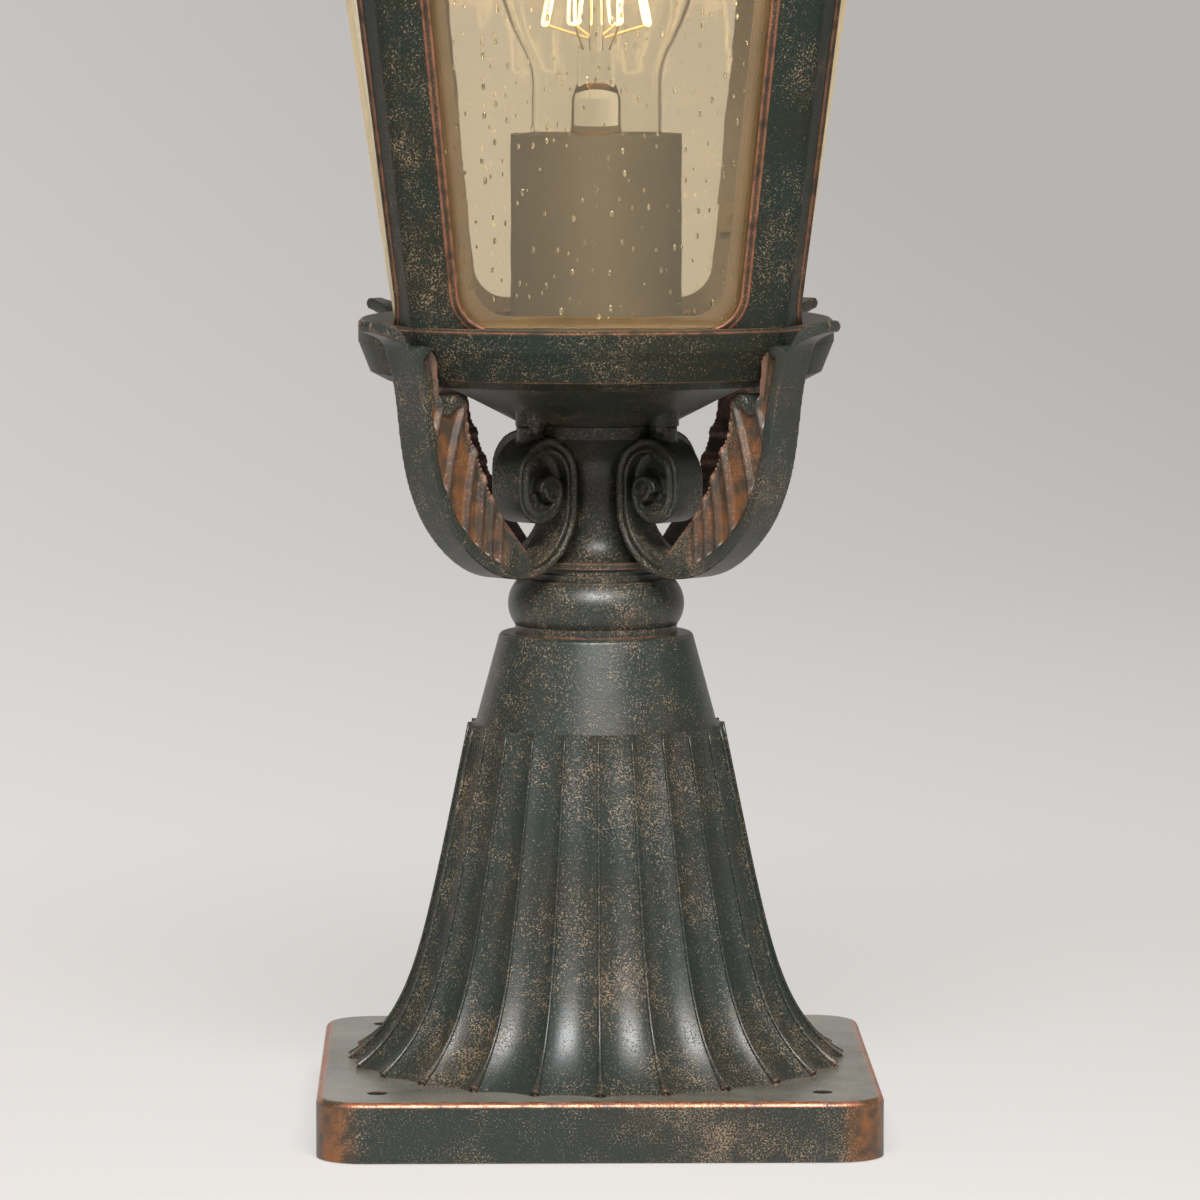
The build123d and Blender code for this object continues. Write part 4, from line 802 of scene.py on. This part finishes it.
class LANTERN_OT_arrises(Operator):
    """Adds the bead along each arris between two flutes, with its small round toe"""
    bl_idname = "lantern.arrises"
    bl_label = "Flute arrises"

    def execute(self, context):
        first = flute_arris(context.scene.lantern_sizes)
        pitch = 2 * math.pi / FLUTES
        beads = [first] + [turned_copy(first, turn * pitch) for turn in range(1, FLUTES)]
        alone(first)
        for bead in beads:
            bead.select_set(True)
        bpy.ops.object.join()
        bpy.ops.object.transform_apply()
        bpy.ops.object.shade_smooth()
        first.name = "flute_arrises"
        settle(first, "stand", bpy.data.materials[SATIN_BRONZE])
        return {"FINISHED"}


def flute_arris(sizes):
    """One bead down the front arris: thin along the flutes, swelling to a knob on the plate."""
    # Shares of the bead's radius: along the flutes, added at the knob, and lost towards the top
    thin, knob, loss = 0.8, 1.5, 0.2
    knob_copper = 0.1
    alone()
    bpy.ops.curve.primitive_nurbs_path_add()
    arris = bpy.context.object
    line = arris.data.splines[0]
    line.points.add(ARRIS_POINTS - len(line.points))
    span = sizes.flute_top - sizes.plate_top
    for i, point in enumerate(line.points):
        share = (i / (ARRIS_POINTS - 1)) ** 2
        rise = share * (span - sizes.arris_radius) + sizes.arris_radius
        reach = sizes.flute_top_radius + sizes.flute_lean * (1 - rise / span)
        reach += sizes.toe_flare * math.exp(-rise / sizes.toe_reach)
        point.co = (0, -reach, sizes.plate_top + rise, 1)
        point.radius = thin + knob * math.exp(-rise / sizes.knob_reach) - loss * share
    line.order_u = 3
    line.use_endpoint_u = True
    arris.data.dimensions = "3D"
    arris.data.bevel_depth = sizes.arris_radius
    arris.data.bevel_resolution = 3
    arris.data.resolution_u = 3
    arris.data.use_fill_caps = True
    alone(arris)
    bpy.ops.object.convert(target="MESH")
    bead = bpy.context.object
    close_up(bead)
    heights = [v.co.z - sizes.plate_top for v in bead.data.vertices]
    mark(bead, "rub", [knob_copper * math.exp(-height / sizes.knob_rub) for height in heights])
    return bead


class LANTERN_OT_window_beads(Operator):
    """Adds the rubbed lip round each window, on the bowed posts"""
    bl_idname = "lantern.window_beads"
    bl_label = "Window lips"

    def execute(self, context):
        for side, angle in SIDES.items():
            piece = window_bead(math.radians(angle), context.scene.lantern_sizes)
            piece.name = f"window_lip_{side}"
            settle(piece, "stand", bpy.data.materials[MATT_BRONZE])
        return {"FINISHED"}


def bead_path(sizes):
    """The window's edge as (across, up, outward across, outward up), from sill to sill over the top."""
    lean = math.atan(sizes.window_lean)
    low = sizes.sill + sizes.window_corner
    high = sizes.window_top - sizes.window_corner
    inset = sizes.window_corner / math.cos(lean)
    low_across = sizes.window_foot_half + sizes.window_lean * (low - sizes.sill) - inset
    high_across = sizes.window_foot_half + sizes.window_lean * (high - sizes.sill) - inset
    sill_turn, top_turn = math.radians(SILL_TURN), math.radians(90)
    bends = ((low_across, low, -sill_turn, -lean), (high_across, high, -lean, top_turn))
    half = []
    for across, up, begin, end in bends:
        for step in range(CORNER_STEPS + 1):
            turn = begin + (end - begin) * step / CORNER_STEPS
            half.append((across, up, math.cos(turn), math.sin(turn)))
    return half + [(-across, up, -x, y) for across, up, x, y in reversed(half)]


def window_bead(angle, sizes):
    """A lip along a window's edge: a grid bent round the path, and closed along its back and at its ends."""
    path = bead_path(sizes)
    wide = len(LIP_PROFILE)
    alone()
    bpy.ops.mesh.primitive_grid_add(x_subdivisions=wide - 1, y_subdivisions=len(path) - 1, size=1)
    bead = bpy.context.object
    outward, sideways = directions(angle)
    rub = []
    for i, point in enumerate(bead.data.vertices):
        share, rise, copper = LIP_PROFILE[i % wide]
        middle, level, x, y = path[i // wide]
        reach = sizes.window_corner + share * sizes.bead_width
        across, up = middle + reach * x, level + reach * y
        sag = sizes.cage_bow - math.sqrt(sizes.cage_bow ** 2 - across ** 2)
        out = sizes.cage_foot_half + sizes.cage_lean * (up - sizes.sill) - sag + rise * sizes.bead_height
        point.co = outward * out + sideways * across + Vector((0, 0, up))
        rub.append(copper)
    mark(bead, "rub", rub)
    close_up(bead)
    return bead


class LANTERN_OT_glazing(Operator):
    """Gives the panes their seeded glass and the retainers their paint"""
    bl_idname = "lantern.glazing"
    bl_label = "Glazing"

    def execute(self, context):
        colours = context.scene.lantern_colours
        dress(seeded_glass(colours, "X"), "glass_pane_front", "glass_pane_back")
        dress(seeded_glass(colours, "Y"), "glass_pane_left", "glass_pane_right")
        brown = even_coat("brown_retainer_paint", colours.retainer, roughness=0.5, grain_mm=0.8, mottle=0.3)
        dress(brown, *[f"pane_retainer_{side}" for side in SIDES])
        browned = bare_metal("browned_steel", colours.browned, roughness=0.5, line_mm=0.3)
        dress(browned, "pane_clips", "clip_screws")
        return {"FINISHED"}


class LANTERN_OT_lampholder(Operator):
    """Finishes the lampholder, its floor plate, the wiring and the plated fasteners"""
    bl_idname = "lantern.lampholder"
    bl_label = "Lampholder"

    def execute(self, context):
        colours = context.scene.lantern_colours
        olive = even_coat("olive_sleeve_paint", colours.sleeve, roughness=0.65, grain_mm=1.2, mottle=0.2)
        dress(olive, "lampholder_sleeve", "lampholder_base")
        pale = even_coat("pale_floor_paint", colours.floor_paint, roughness=0.5, grain_mm=1.2, mottle=0.25)
        dress(pale, "lamp_plate")
        glazed = even_coat("glazed_porcelain", colours.porcelain, roughness=0.15, grain_mm=3.0, mottle=0.06)
        dress(glazed, "lampholder_body")
        moulded = even_coat("terminal_polyamide", colours.terminal, roughness=0.4, grain_mm=1.0, mottle=0.08)
        dress(moulded, "terminal_block")
        sheath = even_coat("wire_insulation", colours.wire, roughness=0.5, grain_mm=0.6, mottle=0.15)
        dress(sheath, "lead_live", "lead_neutral")
        brass = bare_metal("drawn_brass", colours.brass, roughness=0.3, line_mm=0.4)
        dress(brass, "lampholder_shell", "lampholder_tongue")
        zinc = bare_metal("zinc_plated_steel", colours.zinc, roughness=0.35, line_mm=0.3)
        dress(
            zinc, "threaded_tube", "tube_washer_lower", "tube_washer_upper", "tube_nut_lower",
            "tube_nut_upper", "bracket_screws", "cage_screws", "lampholder_nut", "terminal_screws",
            "terminal_block_screw", "earth_screw", "finial_stud", "finial_washer", "finial_nut",
        )
        return {"FINISHED"}


class LANTERN_OT_bulb(Operator):
    """Finishes the bulb and lights its filament"""
    bl_idname = "lantern.bulb"
    bl_label = "Bulb"

    def execute(self, context):
        colours = context.scene.lantern_colours
        dress(bulb_glass("blown_clear_glass", BLOWN_BENDING, colours), "bulb_glass")
        dress(bulb_glass("pressed_clear_glass", PRESSED_BENDING, colours), "bulb_stem")
        dress(lit_filament(colours), "bulb_filament")
        nickel = even_coat(
            "oxidised_nickel_wire", colours.wire_bright, roughness=0.4, grain_mm=0.4, mottle=0.2
        )
        dress(nickel, "bulb_leads", "filament_supports")
        brass = bare_metal("rolled_brass_cap", colours.brass, roughness=0.28, line_mm=0.4)
        dress(brass, "bulb_cap", "bulb_contact")
        black = even_coat("black_cap_glass", colours.insulator, roughness=0.12, grain_mm=2.0, mottle=0.3)
        dress(black, "bulb_insulator")
        return {"FINISHED"}


class LANTERN_OT_studio(Operator):
    """Adds the paper sweep, the lamps and the camera"""
    bl_idname = "lantern.studio"
    bl_label = "Studio"

    def execute(self, context):
        colours = context.scene.lantern_colours
        sizes = context.scene.lantern_sizes
        sweep = paper_sweep()
        sweep.data.materials.append(studio_paper(colours))
        for name, settings in SOFTBOXES.items():
            softbox(name, *settings)
        bulb_light(colours, sizes)
        world = bpy.data.worlds.new("studio_air")
        world.use_nodes = True
        air = world.node_tree.nodes["Background"].inputs
        air["Color"].default_value = colours.air
        air["Strength"].default_value = AIR_STRENGTH
        context.scene.world = world
        context.scene.view_settings.view_transform = "Standard"
        view_from(context.scene, sizes)
        return {"FINISHED"}


def choose_edges(piece, wanted):
    """Selects, in edit mode, the edges whose two ends both pass a test."""
    bpy.ops.mesh.select_all(action="DESELECT")
    bpy.ops.object.mode_set(mode="OBJECT")
    points = piece.data.vertices
    for edge in piece.data.edges:
        edge.select = all(wanted(points[end].co) for end in edge.vertices)
    bpy.ops.object.mode_set(mode="EDIT")


def paper_sweep():
    """A paper roll: flat under the lantern, curving up into a wall behind it."""
    side, setback, wall, bend, bend_steps = 6.0, 0.6, 3.0, 2.2, 32
    below_floor = 0.2 * MM
    near = 0.1
    alone()
    bpy.ops.mesh.primitive_plane_add(size=side, location=(0, setback, -below_floor))
    sweep = bpy.context.object
    sweep.name = "paper_sweep"
    bpy.ops.object.mode_set(mode="EDIT")
    bpy.ops.mesh.select_mode(type="EDGE")
    choose_edges(sweep, lambda end: end.y > side / 2 - near)
    bpy.ops.mesh.extrude_region_move(TRANSFORM_OT_translate={"value": (0, 0, wall)})
    choose_edges(sweep, lambda end: end.y > side / 2 - near and end.z < near)
    bpy.ops.mesh.bevel(offset=bend, segments=bend_steps, affect="EDGES")
    bpy.ops.object.mode_set(mode="OBJECT")
    alone(sweep)
    bpy.ops.object.transform_apply()
    bpy.ops.object.shade_smooth()
    return sweep


def studio_paper(colours):
    # Matt background paper: it takes the shadow near the lantern; further off it glows, with painted shade
    material, tree, place = start("matt_studio_paper")
    parts = add(tree, "ShaderNodeSeparateXYZ", {0: place}).outputs
    away = add(tree, "ShaderNodeVectorMath", {0: place}, operation="LENGTH").outputs["Value"]
    far = add(
        tree, "ShaderNodeMapRange", {"Value": away, "From Min": 0.12, "From Max": 0.6, "To Min": 0.7},
        interpolation_type="SMOOTHSTEP",
    ).outputs["Result"]
    # Painted shade: the glow darkens further back and towards the right, as light falling off over the paper
    slant = 1.9
    climb = add(
        tree, "ShaderNodeMath", {0: parts["X"], 1: slant, 2: parts["Y"]}, operation="MULTIPLY_ADD"
    ).outputs[0]
    fade = add(
        tree, "ShaderNodeMapRange", {"Value": climb, "From Min": -0.1, "From Max": 2.65}
    ).outputs["Result"]
    wall = add(
        tree, "ShaderNodeMix", {0: fade, 6: colours.wall_low, 7: colours.wall_high}, data_type="RGBA"
    ).outputs[2]
    rays = add(tree, "ShaderNodeLightPath").outputs
    direct = add(
        tree, "ShaderNodeMath", {0: rays["Is Camera Ray"], 1: rays["Is Glossy Ray"]}, operation="MAXIMUM"
    ).outputs[0]
    seen = add(
        tree, "ShaderNodeMath", {0: direct, 1: rays["Is Transmission Ray"]}, operation="MAXIMUM"
    ).outputs[0]
    share = add(tree, "ShaderNodeMath", {0: seen, 1: far}, operation="MULTIPLY").outputs[0]
    fibre = add(
        tree, "ShaderNodeTexNoise", {"Vector": place, "Scale": per_mm(3), "Detail": 2.0}
    ).outputs["Fac"]
    tooth = add(
        tree, "ShaderNodeBump", {"Strength": 0.05, "Distance": 0.05 * MM, "Height": fibre}
    ).outputs["Normal"]
    matt = add(
        tree, "ShaderNodeBsdfPrincipled",
        {"Base Color": colours.floor, "Roughness": 0.95, "Specular IOR Level": 0.1, "Normal": tooth},
    )
    even = add(tree, "ShaderNodeEmission", {"Color": wall, "Strength": 1.0})
    mixed = add(tree, "ShaderNodeMixShader", {0: share, 1: matt.outputs[0], 2: even.outputs[0]})
    add(tree, "ShaderNodeOutputMaterial", {"Surface": mixed.outputs[0]})
    return material


def softbox(name, place, aim, width, height, watts):
    """A rectangular lamp that looks from its place to its aim."""
    lamp = bpy.data.lights.new(name, "AREA")
    lamp.shape = "RECTANGLE"
    lamp.size = width
    lamp.size_y = height
    lamp.energy = watts
    box = bpy.data.objects.new(name, lamp)
    bpy.context.scene.collection.objects.link(box)
    box.location = place
    box.rotation_euler = (Vector(aim) - Vector(place)).to_track_quat("-Z", "Y").to_euler()
    # Shadow rays already bring this light through the panes, so refracted rays don't bring it again
    box.visible_transmission = False


def bulb_light(colours, sizes):
    """The light that the filament sheds on the inside of the lantern."""
    lamp = bpy.data.lights.new("bulb_light", "POINT")
    lamp.color = colours.glow[:3]
    lamp.energy = BULB_WATTS
    lamp.shadow_soft_size = sizes.glow_radius
    glow = bpy.data.objects.new("bulb_light", lamp)
    bpy.context.scene.collection.objects.link(glow)
    glow.location = (0, 0, sizes.glow_height)
    glow.visible_camera = False
    glow.visible_transmission = False
    glow.visible_glossy = False


def view_from(scene, sizes):
    """A camera in front of the lantern, a little above its middle and looking slightly down."""
    eye = bpy.data.cameras.new("front_camera")
    eye.lens = sizes.lens
    eye.sensor_width = sizes.sensor
    camera = bpy.data.objects.new("front_camera", eye)
    scene.collection.objects.link(camera)
    side = sizes.camera_side
    camera.location = (
        sizes.camera_distance * math.sin(side), -sizes.camera_distance * math.cos(side), sizes.camera_height
    )
    aim = Vector((sizes.aim_side, 0, sizes.aim_height))
    camera.rotation_euler = (aim - camera.location).to_track_quat("-Z", "Y").to_euler()
    scene.camera = camera


class LANTERN_PT_steps(Panel):
    """Lists the steps that dress the lantern, and their colours and sizes"""
    bl_idname = "LANTERN_PT_steps"
    bl_label = "Pedestal lantern"
    bl_space_type = "VIEW_3D"
    bl_region_type = "UI"
    bl_category = "Lantern"

    def draw(self, context):
        for step in STEPS:
            self.layout.operator(step.bl_idname)
        for group in (context.scene.lantern_colours, context.scene.lantern_sizes):
            box = self.layout.box()
            for name in type(group).__annotations__:
                box.prop(group, name)


STEPS = (
    LANTERN_OT_castings, LANTERN_OT_brackets, LANTERN_OT_arrises, LANTERN_OT_window_beads,
    LANTERN_OT_glazing, LANTERN_OT_lampholder, LANTERN_OT_bulb, LANTERN_OT_studio,
)
CLASSES = (LanternColours, LanternSizes, *STEPS, LANTERN_PT_steps)


def register():
    for kind in CLASSES:
        bpy.utils.register_class(kind)
    bpy.types.Scene.lantern_colours = PointerProperty(type=LanternColours)
    bpy.types.Scene.lantern_sizes = PointerProperty(type=LanternSizes)


def unregister():
    del bpy.types.Scene.lantern_sizes
    del bpy.types.Scene.lantern_colours
    for kind in reversed(CLASSES):
        bpy.utils.unregister_class(kind)


def main():
    """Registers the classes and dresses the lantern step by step."""
    register()
    bpy.ops.lantern.castings()
    bpy.ops.lantern.brackets()
    bpy.ops.lantern.arrises()
    bpy.ops.lantern.window_beads()
    bpy.ops.lantern.glazing()
    bpy.ops.lantern.lampholder()
    bpy.ops.lantern.bulb()
    bpy.ops.lantern.studio()


if __name__ == "__main__":
    main()
